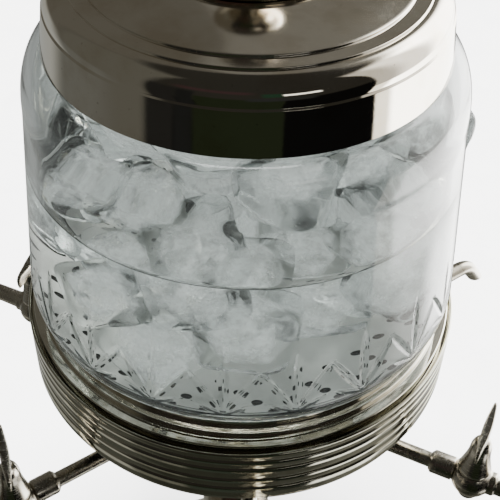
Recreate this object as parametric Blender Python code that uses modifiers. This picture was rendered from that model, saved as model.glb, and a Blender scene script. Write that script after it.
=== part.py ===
"""Absinthe fountain: a glass jar on a weighted foot, with six ball taps and a lid that lifts off.

Units are metres, +Z is up, and the origin is the middle of the foot pad's underside.
Outlines of turned pieces are (radius, height) points that run down the outer side.
"""
import math

import bmesh
import bpy
from mathutils import Matrix, Vector

MM = 0.001

# Clearances and mesh settings
GAP = 0.3 * MM
OVERRUN = 2.0 * MM
WELD = 0.005 * MM
SMOOTH_ANGLE = math.radians(32)
LARGE_STEPS = 28
MID_STEPS = 18
TAP_STEPS = 12
SMALL_STEPS = 10
HEX_SIDES = 6

# Taps: evenly spaced round the column; handle turns are the leaf's rest angles in degrees
TAP_COUNT = 6
FIRST_TAP_ANGLE = math.radians(30)
HANDLE_TURNS = (0, 180, 180, 162, 180, 0)
TAP_REACH = 83.0 * MM

# Foot pad, a rubber ring under the foot's edge
PAD_THICKNESS = 2.2 * MM
PAD_MARGIN = 1.0 * MM
PAD_WIDTH = 5.0 * MM
PAD_CHAMFER = 0.6 * MM

# Foot, a spun shell; the shares of its slope are radius, then height
FOOT_RADIUS = 79.0 * MM
FOOT_TOP_RADIUS = 33.0 * MM
FOOT_HEIGHT = 46.0 * MM
FOOT_WALL = 1.6 * MM
FOOT_SLOPE_SHARES = (
    (0.08, 0.94), (0.19, 0.75), (0.4, 0.54), (0.75, 0.38), (0.93, 0.25), (1.0, 0.08),
)

# Foot weight, an iron disc inside the foot's edge, with a boss up to the foot's top
WEIGHT_MARGIN = 13.0 * MM
WEIGHT_LIFT = 0.8 * MM
WEIGHT_EDGE = 9.0 * MM
WEIGHT_CROWN_MARGIN = 3.0 * MM
WEIGHT_CROWN = 14.0 * MM
WEIGHT_BOSS_RADIUS = 16.0 * MM
WEIGHT_RECESS_RADIUS = 14.0 * MM
WEIGHT_RECESS_DEPTH = 9.0 * MM

# Tie rod, which clamps foot, stem and hub together
ROD_RADIUS = 4.0 * MM
ROD_TAIL = 1.2 * MM
ROD_GRIP = 5.2 * MM
WASHER_RADIUS = 11.0 * MM
WASHER_THICKNESS = 1.5 * MM
ROD_NUT_RADIUS = 7.5 * MM
ROD_NUT_HEIGHT = 5.6 * MM

# Stem ring, and the stem with its shares from the top down: radius, then height
RING_RADIUS = 36.0 * MM
RING_BORE = 26.0 * MM
RING_HEIGHT = 6.0 * MM
STEM_HEIGHT = 167.4 * MM
STEM_WALL = 2.0 * MM
STEM_SHARES = (
    (1.0, 1.0), (0.965, 0.92), (0.885, 0.84), (0.755, 0.788), (0.65, 0.745), (0.553, 0.633),
    (0.485, 0.47), (0.47, 0.28), (0.56, 0.13), (0.73, 0.035), (0.82, 0.0),
)

# Hub, the round block that feeds the pipes
HUB_RADIUS = 41.0 * MM
HUB_HEIGHT = 24.0 * MM
HUB_CHAMFER = 1.5 * MM
HUB_CHAMBER_RADIUS = 9.0 * MM
HUB_CHAMBER_FLOOR = 7.5 * MM
HUB_PORT_RADIUS = 2.5 * MM
PIPE_SOCKET_DEPTH = 9.0 * MM

# Hub gasket and drain bushing
HUB_GASKET_RADIUS = 26.0 * MM
HUB_GASKET_THICKNESS = 1.5 * MM
BUSHING_RADIUS = 11.7 * MM
BUSHING_BORE = 7.0 * MM
BUSHING_GRIP = 8.2 * MM
BUSHING_FLANGE_RADIUS = 16.0 * MM
BUSHING_FLANGE = 2.5 * MM
BUSHING_CHAMFER = 0.8 * MM

# Glass jar, open at both ends; its other radii follow from the neck
NECK_RADIUS = 71.0 * MM
NECK_FILLET = 1.6 * MM
NECK_RISE = 16.6 * MM
SHOULDER_WIDTH = 12.8 * MM
SHOULDER_RISE = 23.5 * MM
SHOULDER_POWER = 2.26
JAR_FLARE = 7.7 * MM
JAR_BODY = 84.9 * MM
JAR_WALL = 3.5 * MM
JAR_ROUND_WIDTH = 7.1 * MM
JAR_ROUND_HEIGHT = 9.0 * MM
JAR_FOOT_HEIGHT = 6.6 * MM

# Jar gasket
GASKET_WIDTH = 3.8 * MM
GASKET_THICKNESS = 1.7 * MM

# Pan, a spun bowl; the shares of its bowl are radius, then height
PAN_WALL_THICKNESS = 1.9 * MM
PAN_RISE = 64.7 * MM
PAN_CORNER = 2.2 * MM
PAN_FLOOR_RADIUS = 24.0 * MM
PAN_BOWL_SHARES = ((1.0, 1.0), (0.84, 0.74), (0.57, 0.42), (0.27, 0.15), (0.0, 0.0))
FLANGE_WIDTH = 2.1 * MM
FLANGE_THICKNESS = 1.7 * MM

# Cup on top of the pan, in one piece with it: it holds the glass, and its outer side goes down in steps
CUP_HEIGHT = 7.4 * MM
CUP_WALL = 1.5 * MM
SEAT_WIDTH = 14.3 * MM
UPPER_STEP_HEIGHT = 4.4 * MM
UPPER_STEP_WIDTH = 2.4 * MM
LOWER_STEP_HEIGHT = 3.3 * MM
LOWER_STEP_WIDTH = 4.0 * MM
CUP_EDGE = 0.6 * MM
CUP_BEAD = 1.9 * MM
CUP_OVERHANG = 0.7 * MM

# Collar, the ribbed ring; the shares place its grooves down its height
COLLAR_HEIGHT = 29.8 * MM
COLLAR_LIP = 1.5 * MM
COLLAR_DROP = 2.3 * MM
COLLAR_MOUTH_GAP = 1.1 * MM
COLLAR_MOUTH_DEPTH = 5.0 * MM
COLLAR_EDGE = 1.6 * MM
COLLAR_GROOVE_DEPTH = 0.8 * MM
COLLAR_GROOVE_HALF = 0.7 * MM
COLLAR_GROOVE_SHARES = (0.141, 0.316, 0.55, 0.748)

# Strainer plate with rings of round holes; the first ring has a hole at a set angle
STRAINER_MARGIN = 3.2 * MM
STRAINER_THICKNESS = 1.2 * MM
HOLE_RADIUS = 2.1 * MM
HOLE_SIDES = 6
HOLE_RING_SPACING = 7.7 * MM
HOLE_PITCH = 12.4 * MM
HOLE_EDGE = 9.6 * MM
HOLE_RINGS = 4
FIRST_HOLE_ANGLE = math.radians(-95)

# Lid, a spun shell; the band fits round the glass neck and sits on its shoulder
LID_CLEARANCE = 3.8 * MM
LID_WALL = 1.2 * MM
LID_BAND_HEIGHT = 16.0 * MM
LID_BAND_DRAFT = 2.2 * MM
LID_CREASE = 0.6 * MM
LID_SHOULDER_WIDTH = 8.0 * MM
LID_SHOULDER_RISE = 8.6 * MM
LID_GROOVE = 0.8 * MM
LID_RING_WIDTH = 5.8 * MM
LID_STEP = 0.9 * MM
LID_DOME_RISE = 3.7 * MM
LID_DOME_SHARES = ((1.0, 0.0), (0.5, 0.64), (0.0, 1.0))

# Finial base and knob; their shares are radius, then height, from the top down
FINIAL_BASE_RADIUS = 34.0 * MM
FINIAL_BASE_HEIGHT = 19.0 * MM
FINIAL_BASE_SHARES = (
    (0.25, 1.0), (0.25, 0.93), (0.28, 0.7), (0.38, 0.46), (0.6, 0.27), (0.88, 0.18), (0.98, 0.13),
    (1.0, 0.06), (0.98, 0.0),
)
FINIAL_RADIUS = 15.0 * MM
FINIAL_HEIGHT = 36.0 * MM
FINIAL_SHARES = (
    (0.0, 1.0), (0.13, 0.99), (0.21, 0.95), (0.19, 0.9), (0.36, 0.86), (0.68, 0.77), (0.93, 0.65),
    (1.0, 0.51), (0.92, 0.36), (0.66, 0.23), (0.42, 0.155), (0.42, 0.105), (0.6, 0.07), (0.65, 0.03),
    (0.58, 0.0),
)
STUD_RADIUS = 3.0 * MM
STUD_GRIP = 13.0 * MM
STUD_TAIL = 1.5 * MM
STUD_NUT_RADIUS = 6.6 * MM
STUD_NUT_HEIGHT = 5.0 * MM

# Tap, in its own frame: the ball's centre is its origin and +X points outwards
BALL_RADIUS = 9.9 * MM
BALL_TOP = 6.6 * MM
BALL_BOTTOM = 7.6 * MM
BALL_SEGMENTS = 6
WATERWAY_RADIUS = 2.3 * MM
INLET_WALL = 0.7 * MM
INLET_LENGTH = 16.7 * MM
INLET_SOCKET_DEPTH = 6.4 * MM
INLET_ROOT = 6.0 * MM
SPOUT_RADIUS = 4.75 * MM
SPOUT_TIP_SHARE = 0.8
SPOUT_ROOT = 5.0 * MM
SPOUT_STRAIGHT = 32.0 * MM
SPOUT_BEND_RADIUS = 13.0 * MM
SPOUT_BEND = math.radians(54)
SPOUT_BEND_SEGMENTS = 4
SPOUT_DROP = 13.8 * MM
SPOUT_RESOLUTION = 2

# Pipe with its lock nut and union nut
PIPE_RADIUS = 3.7 * MM
PIPE_WALL = 1.2 * MM
HUB_NUT_RADIUS = 7.2 * MM
HUB_NUT_LENGTH = 6.0 * MM
UNION_WALL = 0.7 * MM
UNION_LENGTH = 11.8 * MM
UNION_COLLAR = 3.7 * MM
UNION_CHAMFER = 1.4 * MM

# Key: plug, bell and leaf handle; the bell's shares are radius, then height
PLUG_TOP_RADIUS = 5.2 * MM
PLUG_BOTTOM_RADIUS = 4.0 * MM
KEY_STUD_RADIUS = 2.4 * MM
KEY_STUD_TAIL = 0.8 * MM
BELL_RADIUS = 7.6 * MM
BELL_HEIGHT = 22.9 * MM
BELL_SHARES = (
    (0.0, 1.0), (0.4, 0.96), (0.62, 0.8), (0.69, 0.55), (0.82, 0.31), (1.0, 0.07), (1.0, 0.0),
)
KEY_NUT_RADIUS = 4.8 * MM
KEY_NUT_HEIGHT = 4.4 * MM
KEY_NUT_FLANGE_RADIUS = 6.0 * MM
KEY_NUT_FLANGE = 1.2 * MM

# Leaf handle: its shares are reach along the leaf, then height above the ball's centre
LEAF_REACH = 15.0 * MM
LEAF_HEIGHT = 40.0 * MM
LEAF_THICKNESS = 2.4 * MM
LEAF_SHARES = (
    (-0.767, 0.613), (-0.813, 0.713), (-0.733, 0.805), (-0.267, 0.862), (0.533, 0.965), (0.933, 1.0),
    (1.013, 0.965), (0.867, 0.912), (0.467, 0.845), (0.2, 0.75), (0.16, 0.66), (-0.16, 0.66), (-0.29, 0.683),
    (-0.467, 0.637),
)

# Heights of the base, from the ground up
FOOT_BOTTOM = PAD_THICKNESS + GAP
FOOT_TOP = FOOT_BOTTOM + FOOT_HEIGHT
WEIGHT_BOTTOM = FOOT_BOTTOM + WEIGHT_LIFT
WEIGHT_TOP = FOOT_TOP - FOOT_WALL - GAP
RECESS_TOP = WEIGHT_BOTTOM + WEIGHT_RECESS_DEPTH
WASHER_TOP = RECESS_TOP - GAP
ROD_NUT_TOP = WASHER_TOP - WASHER_THICKNESS - GAP
ROD_BOTTOM = ROD_NUT_TOP - ROD_NUT_HEIGHT - ROD_TAIL
RING_BOTTOM = FOOT_TOP + GAP
RING_TOP = RING_BOTTOM + RING_HEIGHT
STEM_BOTTOM = RING_TOP + GAP
STEM_TOP = STEM_BOTTOM + STEM_HEIGHT
HUB_BOTTOM = STEM_TOP + GAP
HUB_TOP = HUB_BOTTOM + HUB_HEIGHT
ARM_Z = (HUB_BOTTOM + HUB_TOP) / 2
ROD_TOP = HUB_BOTTOM + ROD_GRIP
HUB_GASKET_BOTTOM = HUB_TOP + GAP
PAN_BOTTOM = HUB_GASKET_BOTTOM + HUB_GASKET_THICKNESS + GAP
PAN_FLOOR = PAN_BOTTOM + PAN_WALL_THICKNESS
PAN_SEAT = PAN_BOTTOM + PAN_RISE
CUP_TOP = PAN_SEAT + CUP_HEIGHT
UPPER_LEDGE = CUP_TOP - UPPER_STEP_HEIGHT
LOWER_LEDGE = UPPER_LEDGE - LOWER_STEP_HEIGHT
GASKET_BOTTOM = PAN_SEAT + GAP
JAR_BOTTOM = GASKET_BOTTOM + GASKET_THICKNESS + GAP
ROUND_BOTTOM = JAR_BOTTOM + JAR_FOOT_HEIGHT
ROUND_TOP = ROUND_BOTTOM + JAR_ROUND_HEIGHT
SHOULDER_BOTTOM = ROUND_TOP + JAR_BODY
SHOULDER_TOP = SHOULDER_BOTTOM + SHOULDER_RISE
JAR_TOP = SHOULDER_TOP + NECK_RISE
COLLAR_TOP = LOWER_LEDGE - COLLAR_DROP
COLLAR_BOTTOM = COLLAR_TOP - COLLAR_HEIGHT
FLANGE_TOP = COLLAR_BOTTOM - GAP
FLANGE_BOTTOM = FLANGE_TOP - FLANGE_THICKNESS

# Radii that follow from the foot, the neck, the pipe and the rod
WEIGHT_RADIUS = FOOT_RADIUS - WEIGHT_MARGIN
WEIGHT_CROWN_RADIUS = FOOT_TOP_RADIUS - WEIGHT_CROWN_MARGIN
NECK_BORE = NECK_RADIUS - JAR_WALL
SHOULDER_CENTRE = NECK_RADIUS + NECK_FILLET
SHOULDER_RADIUS = SHOULDER_CENTRE + SHOULDER_WIDTH
JAR_RADIUS = SHOULDER_RADIUS + JAR_FLARE
JAR_FOOT_RADIUS = JAR_RADIUS - JAR_ROUND_WIDTH
GASKET_BORE = JAR_FOOT_RADIUS - GASKET_WIDTH
STRAINER_RADIUS = GASKET_BORE - STRAINER_MARGIN
CUP_BORE = JAR_FOOT_RADIUS + GAP
CUP_RADIUS = CUP_BORE + CUP_WALL
SEAT_BORE = CUP_BORE - SEAT_WIDTH
UPPER_LEDGE_RADIUS = CUP_RADIUS + UPPER_STEP_WIDTH
LOWER_LEDGE_RADIUS = UPPER_LEDGE_RADIUS + LOWER_STEP_WIDTH
PAN_RADIUS = LOWER_LEDGE_RADIUS - CUP_OVERHANG
FLANGE_RADIUS = PAN_RADIUS + FLANGE_WIDTH
COLLAR_MOUTH = LOWER_LEDGE_RADIUS + COLLAR_MOUTH_GAP
COLLAR_RADIUS = COLLAR_MOUTH + COLLAR_LIP
LID_RADIUS = NECK_RADIUS + LID_CLEARANCE + LID_WALL
ROD_HOLE = ROD_RADIUS + GAP
BUSHING_HOLE = BUSHING_RADIUS + GAP
STUD_HOLE = STUD_RADIUS + GAP
PIPE_HOLE = PIPE_RADIUS + GAP
INLET_RADIUS = PIPE_HOLE + INLET_WALL
UNION_BORE = INLET_RADIUS + GAP
UNION_RADIUS = UNION_BORE + UNION_WALL
TAP_RADIUS = HUB_RADIUS + TAP_REACH


def arc(centre, reach, start, end, segments, power=2.0):
    """Points along a superellipse, from one angle to another; a power of 2 gives a plain ellipse."""
    points = []
    for i in range(segments + 1):
        angle = math.radians(start + (end - start) * i / segments)
        across = math.cos(angle)
        up = math.sin(angle)
        points.append((
            centre[0] + reach[0] * math.copysign(abs(across) ** (2.0 / power), across),
            centre[1] + reach[1] * math.copysign(abs(up) ** (2.0 / power), up),
        ))
    return points


def shaped(shares, radius, height, base=0.0):
    """An outline from shares of a radius and of a height above a base."""
    return [(radius * across, base + height * up) for across, up in shares]


def between(shares, inner, outer, low, high):
    """An outline from shares of the way from one radius and height to another."""
    return [(inner + (outer - inner) * across, low + (high - low) * up) for across, up in shares]


def thicken(outline, wall, level_start=False, level_end=False):
    """Close an outline into a wall of even thickness on its inner side."""
    lines = [Vector(b) - Vector(a) for a, b in zip(outline, outline[1:])]
    normals = [Vector((line.y, -line.x)).normalized() for line in lines]
    inner = []
    for i, point in enumerate(outline):
        before = normals[max(i - 1, 0)]
        after = normals[min(i, len(normals) - 1)]
        middle = (before + after).normalized()
        offset = Vector(point) + middle * (wall / middle.dot(after))
        inner.append([offset.x, offset.y])
    if level_start:
        inner[0][1] = outline[0][1]
    if level_end:
        inner[-1][1] = outline[-1][1]
    return list(outline) + [tuple(point) for point in reversed(inner)]


def lid_seat():
    """Height of the glass shoulder under the lid band's inner edge."""
    share = (LID_RADIUS - LID_WALL - SHOULDER_CENTRE) / SHOULDER_WIDTH
    rise = (1.0 - max(share, 0.0) ** SHOULDER_POWER) ** (1.0 / SHOULDER_POWER)
    return SHOULDER_BOTTOM + SHOULDER_RISE * rise


LID_BOTTOM = lid_seat() + GAP
LID_CROWN = LID_BOTTOM + LID_BAND_HEIGHT + LID_CREASE + LID_SHOULDER_RISE + LID_GROOVE + LID_STEP + LID_DOME_RISE
FINIAL_BASE_BOTTOM = LID_CROWN + GAP
FINIAL_BOTTOM = FINIAL_BASE_BOTTOM + FINIAL_BASE_HEIGHT + GAP


def make_collection(name):
    group = bpy.data.collections.new(name)
    bpy.context.scene.collection.children.link(group)
    return group


for old in list(bpy.data.objects):
    bpy.data.objects.remove(old, do_unlink=True)
PARTS = make_collection("absinthe_fountain")
CUTTERS = make_collection("cutters")


def make_material(name, colour, metallic, roughness, transmission=0.0):
    material = bpy.data.materials.new(name)
    material.use_nodes = True
    shader = material.node_tree.nodes["Principled BSDF"]
    shader.inputs["Base Color"].default_value = (*colour, 1.0)
    shader.inputs["Metallic"].default_value = metallic
    shader.inputs["Roughness"].default_value = roughness
    shader.inputs["Transmission Weight"].default_value = transmission
    return material


NICKEL = make_material("nickel_silver", (0.55, 0.52, 0.46), 1.0, 0.1)
DARK_NICKEL = make_material("dark_nickel", (0.3, 0.28, 0.25), 1.0, 0.16)
STEEL = make_material("plain_steel", (0.45, 0.45, 0.45), 1.0, 0.35)
IRON = make_material("cast_iron", (0.08, 0.08, 0.085), 0.8, 0.7)
RUBBER = make_material("black_rubber", (0.03, 0.03, 0.03), 0.0, 0.8)
GLASS = make_material("clear_glass", (0.93, 0.96, 0.95), 0.0, 0.02, 1.0)


def add_object(name, mesh, group, material=None):
    item = bpy.data.objects.new(name, mesh)
    group.objects.link(item)
    if material is not None:
        mesh.materials.append(material)
    if group is CUTTERS:
        item.hide_render = True
        item.display_type = "WIRE"
    return item


def turned(name, outline, steps, material=None, closed=True, group=PARTS):
    """A turned piece: the outline goes round Z; an open outline starts and ends on the axis."""
    mesh = bpy.data.meshes.new(name)
    edges = [(i, i + 1) for i in range(len(outline) - 1)]
    if closed:
        edges.append((len(outline) - 1, 0))
    mesh.from_pydata([(radius, 0.0, height) for radius, height in outline], edges, [])
    item = add_object(name, mesh, group, material)
    screw = item.modifiers.new("turn", "SCREW")
    screw.axis = "Z"
    screw.angle = math.tau
    screw.steps = steps
    screw.render_steps = steps
    screw.use_merge_vertices = True
    screw.merge_threshold = WELD
    return item


def turned_cutter(name, outline, steps):
    return turned(name, outline, steps, closed=False, group=CUTTERS)


def rod_outline(radius, low, high):
    return [(0.0, high), (radius, high), (radius, low), (0.0, low)]


def ring_outline(bore, radius, low, high):
    return [(radius, high), (radius, low), (bore, low), (bore, high)]


def change(item, other, operation):
    """Cut an object with another, or join the two."""
    boolean = item.modifiers.new(operation.lower(), "BOOLEAN")
    boolean.operation = operation
    boolean.solver = "EXACT"
    boolean.object = other


def evaluated_mesh(item):
    """An object's mesh with its modifiers applied, welded and shaded smooth by angle."""
    bpy.context.view_layer.update()
    graph = bpy.context.evaluated_depsgraph_get()
    mesh = bpy.data.meshes.new_from_object(item.evaluated_get(graph))
    work = bmesh.new()
    work.from_mesh(mesh)
    bmesh.ops.remove_doubles(work, verts=work.verts, dist=WELD)
    work.to_mesh(mesh)
    work.free()
    mesh.shade_smooth()
    mesh.set_sharp_from_angle(angle=SMOOTH_ANGLE)
    return mesh


def settle(item):
    """Apply an object's modifiers."""
    mesh = evaluated_mesh(item)
    item.modifiers.clear()
    item.data = mesh
    mesh.name = item.name
    return item


def curve_mesh(name, curve, group, material=None):
    """A mesh object made from a curve, with its caps welded."""
    source = bpy.data.objects.new(name + "_curve", curve)
    group.objects.link(source)
    mesh = evaluated_mesh(source)
    bpy.data.objects.remove(source, do_unlink=True)
    return add_object(name, mesh, group, material)


def make_pad():
    outer = FOOT_RADIUS + PAD_MARGIN
    turned("foot_pad", [
        (outer - PAD_CHAMFER, PAD_THICKNESS), (outer, PAD_THICKNESS - PAD_CHAMFER), (outer, 0.0),
        (outer - PAD_WIDTH, 0.0), (outer - PAD_WIDTH, PAD_THICKNESS),
    ], LARGE_STEPS, RUBBER)


def make_foot():
    slope = between(FOOT_SLOPE_SHARES, FOOT_TOP_RADIUS, FOOT_RADIUS, FOOT_BOTTOM, FOOT_TOP)
    outline = [(ROD_HOLE, FOOT_TOP), (FOOT_TOP_RADIUS, FOOT_TOP)] + slope + [(FOOT_RADIUS, FOOT_BOTTOM)]
    turned("foot", thicken(outline, FOOT_WALL), LARGE_STEPS, NICKEL)
    turned("foot_weight", [
        (WEIGHT_BOSS_RADIUS, WEIGHT_TOP), (WEIGHT_BOSS_RADIUS, WEIGHT_BOTTOM + WEIGHT_CROWN),
        (WEIGHT_CROWN_RADIUS, WEIGHT_BOTTOM + WEIGHT_CROWN), (WEIGHT_RADIUS, WEIGHT_BOTTOM + WEIGHT_EDGE),
        (WEIGHT_RADIUS, WEIGHT_BOTTOM), (WEIGHT_RECESS_RADIUS, WEIGHT_BOTTOM),
        (WEIGHT_RECESS_RADIUS, RECESS_TOP), (ROD_HOLE, RECESS_TOP), (ROD_HOLE, WEIGHT_TOP),
    ], MID_STEPS, IRON)


def make_tie_rod():
    turned("tie_rod", rod_outline(ROD_RADIUS, ROD_BOTTOM, ROD_TOP), SMALL_STEPS, STEEL, closed=False)
    washer = ring_outline(ROD_HOLE, WASHER_RADIUS, WASHER_TOP - WASHER_THICKNESS, WASHER_TOP)
    turned("tie_rod_washer", washer, SMALL_STEPS, STEEL)
    low = ROD_NUT_TOP - ROD_NUT_HEIGHT
    make_hex_nut("tie_rod_nut", ROD_NUT_RADIUS, ROD_HOLE, low, ROD_NUT_TOP)


def make_hex_nut(name, radius, hole, low, high):
    nut = turned(name, rod_outline(radius, low, high), HEX_SIDES, STEEL, closed=False)
    drill = turned_cutter(name + "_drill", rod_outline(hole, low - OVERRUN, high + OVERRUN), SMALL_STEPS)
    change(nut, drill, "DIFFERENCE")
    return settle(nut)


def make_stem():
    half = RING_HEIGHT / 2
    rim = arc((RING_RADIUS - half, RING_BOTTOM + half), (half, half), 90, -90, 4)
    turned("stem_ring", rim + [(RING_BORE, RING_BOTTOM), (RING_BORE, RING_TOP)], LARGE_STEPS, NICKEL)
    outline = shaped(STEM_SHARES, HUB_RADIUS - HUB_CHAMFER, STEM_HEIGHT, STEM_BOTTOM)
    turned("stem", thicken(outline, STEM_WALL, True, True), MID_STEPS, NICKEL)


def make_hub():
    floor = HUB_BOTTOM + HUB_CHAMBER_FLOOR
    shelf = HUB_TOP - BUSHING_GRIP - GAP
    hub = turned("hub", [
        (0.0, floor), (HUB_CHAMBER_RADIUS, floor), (HUB_CHAMBER_RADIUS, shelf), (BUSHING_HOLE, shelf),
        (BUSHING_HOLE, HUB_TOP), (HUB_RADIUS - HUB_CHAMFER, HUB_TOP), (HUB_RADIUS, HUB_TOP - HUB_CHAMFER),
        (HUB_RADIUS, HUB_BOTTOM + HUB_CHAMFER), (HUB_RADIUS - HUB_CHAMFER, HUB_BOTTOM),
        (ROD_HOLE, HUB_BOTTOM), (ROD_HOLE, ROD_TOP + GAP), (0.0, ROD_TOP + GAP),
    ], MID_STEPS, DARK_NICKEL, closed=False)
    socket = [
        (0.0, HUB_RADIUS + OVERRUN), (PIPE_HOLE, HUB_RADIUS + OVERRUN),
        (PIPE_HOLE, HUB_RADIUS - PIPE_SOCKET_DEPTH), (HUB_PORT_RADIUS, HUB_RADIUS - PIPE_SOCKET_DEPTH),
        (HUB_PORT_RADIUS, HUB_CHAMBER_RADIUS - OVERRUN), (0.0, HUB_CHAMBER_RADIUS - OVERRUN),
    ]
    for i in range(TAP_COUNT):
        cutter = turned_cutter(f"hub_socket_{i + 1}", socket, SMALL_STEPS)
        cutter.matrix_world = Matrix.Translation((0.0, 0.0, ARM_Z)) @ tap_turn(i) @ OUTWARD
        change(hub, cutter, "DIFFERENCE")
    settle(hub)
    gasket_top = HUB_GASKET_BOTTOM + HUB_GASKET_THICKNESS
    turned("hub_gasket", ring_outline(BUSHING_HOLE, HUB_GASKET_RADIUS, HUB_GASKET_BOTTOM, gasket_top),
           MID_STEPS, RUBBER)


def make_bushing():
    under = PAN_FLOOR + GAP
    top = under + BUSHING_FLANGE
    turned("drain_bushing", [
        (BUSHING_FLANGE_RADIUS - BUSHING_CHAMFER, top), (BUSHING_FLANGE_RADIUS, top - BUSHING_CHAMFER),
        (BUSHING_FLANGE_RADIUS, under), (BUSHING_RADIUS, under), (BUSHING_RADIUS, HUB_TOP - BUSHING_GRIP),
        (BUSHING_BORE, HUB_TOP - BUSHING_GRIP), (BUSHING_BORE, top),
    ], MID_STEPS, NICKEL)


def make_pan():
    """Bowl and cup in one: down the stepped outer side, round the bowl, and up inside to the seat."""
    underside = PAN_SEAT - PAN_WALL_THICKNESS
    bead_bottom = LOWER_LEDGE - CUP_BEAD
    shell = [(PAN_RADIUS, underside), (PAN_RADIUS, FLANGE_BOTTOM)]
    shell += between(PAN_BOWL_SHARES, PAN_FLOOR_RADIUS, PAN_RADIUS - PAN_CORNER, PAN_BOTTOM,
                     FLANGE_BOTTOM - PAN_CORNER)
    shell.append((BUSHING_HOLE, PAN_BOTTOM))
    inside = thicken(shell, PAN_WALL_THICKNESS)[len(shell):]
    outline = [
        (CUP_BORE, CUP_TOP), (CUP_RADIUS, CUP_TOP), (CUP_RADIUS, UPPER_LEDGE), (UPPER_LEDGE_RADIUS, UPPER_LEDGE),
        (UPPER_LEDGE_RADIUS, LOWER_LEDGE),
    ]
    outline += arc((LOWER_LEDGE_RADIUS - CUP_EDGE, LOWER_LEDGE - CUP_EDGE), (CUP_EDGE, CUP_EDGE), 90, 0, 2)
    outline += [
        (LOWER_LEDGE_RADIUS, bead_bottom), (PAN_RADIUS, bead_bottom - CUP_OVERHANG), (PAN_RADIUS, FLANGE_TOP),
        (FLANGE_RADIUS, FLANGE_TOP), (FLANGE_RADIUS, FLANGE_BOTTOM),
    ]
    outline += shell[1:] + inside
    outline += [(SEAT_BORE, underside), (SEAT_BORE, PAN_SEAT), (CUP_BORE, PAN_SEAT)]
    turned("pan", outline, LARGE_STEPS, NICKEL)


def make_collar():
    middle = (COLLAR_MOUTH + COLLAR_RADIUS) / 2
    half = COLLAR_LIP / 2
    mouth_bottom = COLLAR_TOP - COLLAR_MOUTH_DEPTH
    outline = arc((middle, COLLAR_TOP - half), (half, half), 180, 0, 2)
    for share in COLLAR_GROOVE_SHARES:
        height = COLLAR_TOP - COLLAR_HEIGHT * share
        outline += [
            (COLLAR_RADIUS, height + COLLAR_GROOVE_HALF),
            (COLLAR_RADIUS - COLLAR_GROOVE_DEPTH, height),
            (COLLAR_RADIUS, height - COLLAR_GROOVE_HALF),
        ]
    outline += arc((COLLAR_RADIUS - COLLAR_EDGE, COLLAR_BOTTOM + COLLAR_EDGE), (COLLAR_EDGE, COLLAR_EDGE), 0, -90, 2)
    outline += [
        (PAN_RADIUS + GAP, COLLAR_BOTTOM), (PAN_RADIUS + GAP, mouth_bottom), (COLLAR_MOUTH, mouth_bottom),
    ]
    turned("collar", outline, LARGE_STEPS, NICKEL)


def make_strainer():
    low = PAN_SEAT + GAP
    high = low + STRAINER_THICKNESS
    plate = turned("strainer", rod_outline(STRAINER_RADIUS, low, high), LARGE_STEPS, NICKEL, closed=False)
    holes = bmesh.new()
    for ring in range(HOLE_RINGS):
        radius = STRAINER_RADIUS - HOLE_EDGE - ring * HOLE_RING_SPACING
        count = round(math.tau * radius / HOLE_PITCH)
        for i in range(count):
            angle = FIRST_HOLE_ANGLE + math.tau * (i + 0.5 * (ring % 2)) / count
            place = Vector((radius * math.cos(angle), radius * math.sin(angle), (low + high) / 2))
            bmesh.ops.create_cone(
                holes, cap_ends=True, segments=HOLE_SIDES, radius1=HOLE_RADIUS, radius2=HOLE_RADIUS,
                depth=STRAINER_THICKNESS + 2 * OVERRUN,
                matrix=Matrix.Translation(place) @ Matrix.Rotation(angle, 4, "Z"),
            )
    mesh = bpy.data.meshes.new("strainer_holes")
    holes.to_mesh(mesh)
    holes.free()
    change(plate, add_object("strainer_holes", mesh, CUTTERS), "DIFFERENCE")
    settle(plate)


def make_jar():
    rim = JAR_WALL / 2
    outline = arc((NECK_RADIUS - rim, JAR_TOP - rim), (rim, rim), 90, 0, 2)
    outline += arc((SHOULDER_CENTRE, SHOULDER_TOP + NECK_FILLET), (NECK_FILLET, NECK_FILLET), 180, 270, 2)
    outline += arc((SHOULDER_CENTRE, SHOULDER_BOTTOM), (SHOULDER_WIDTH, SHOULDER_RISE), 90, 0, 6,
                   SHOULDER_POWER)[1:]
    outline += arc((JAR_FOOT_RADIUS, ROUND_TOP), (JAR_ROUND_WIDTH, JAR_ROUND_HEIGHT), 0, -90, 4)
    outline.append((JAR_FOOT_RADIUS, JAR_BOTTOM))
    closed = thicken(outline[2:], JAR_WALL)
    lip = arc((NECK_RADIUS - rim, JAR_TOP - rim), (rim, rim), 180, 90, 2)
    turned("glass_jar", outline[:2] + closed[:-1] + lip[:-1], LARGE_STEPS, GLASS)
    gasket = ring_outline(GASKET_BORE, JAR_FOOT_RADIUS, GASKET_BOTTOM, GASKET_BOTTOM + GASKET_THICKNESS)
    turned("jar_gasket", gasket, LARGE_STEPS, RUBBER)


def make_lid():
    band_top = LID_BOTTOM + LID_BAND_HEIGHT
    band_radius = LID_RADIUS - LID_BAND_DRAFT
    shoulder_base = band_top + LID_CREASE
    shoulder_centre = band_radius - LID_CREASE - LID_SHOULDER_WIDTH
    ring_height = shoulder_base + LID_SHOULDER_RISE + LID_GROOVE
    dome_edge = shoulder_centre - LID_RING_WIDTH
    dome = between(LID_DOME_SHARES, FINIAL_BASE_RADIUS, dome_edge, ring_height + LID_STEP, LID_CROWN)
    outline = [(STUD_HOLE, LID_CROWN)] + list(reversed(dome))
    outline += [(dome_edge, ring_height), (shoulder_centre, ring_height)]
    outline += arc((shoulder_centre, shoulder_base), (LID_SHOULDER_WIDTH, LID_SHOULDER_RISE), 90, 0, 5)
    outline += [(band_radius, band_top), (LID_RADIUS, LID_BOTTOM)]
    turned("lid", thicken(outline, LID_WALL, level_end=True), LARGE_STEPS, NICKEL)


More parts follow.
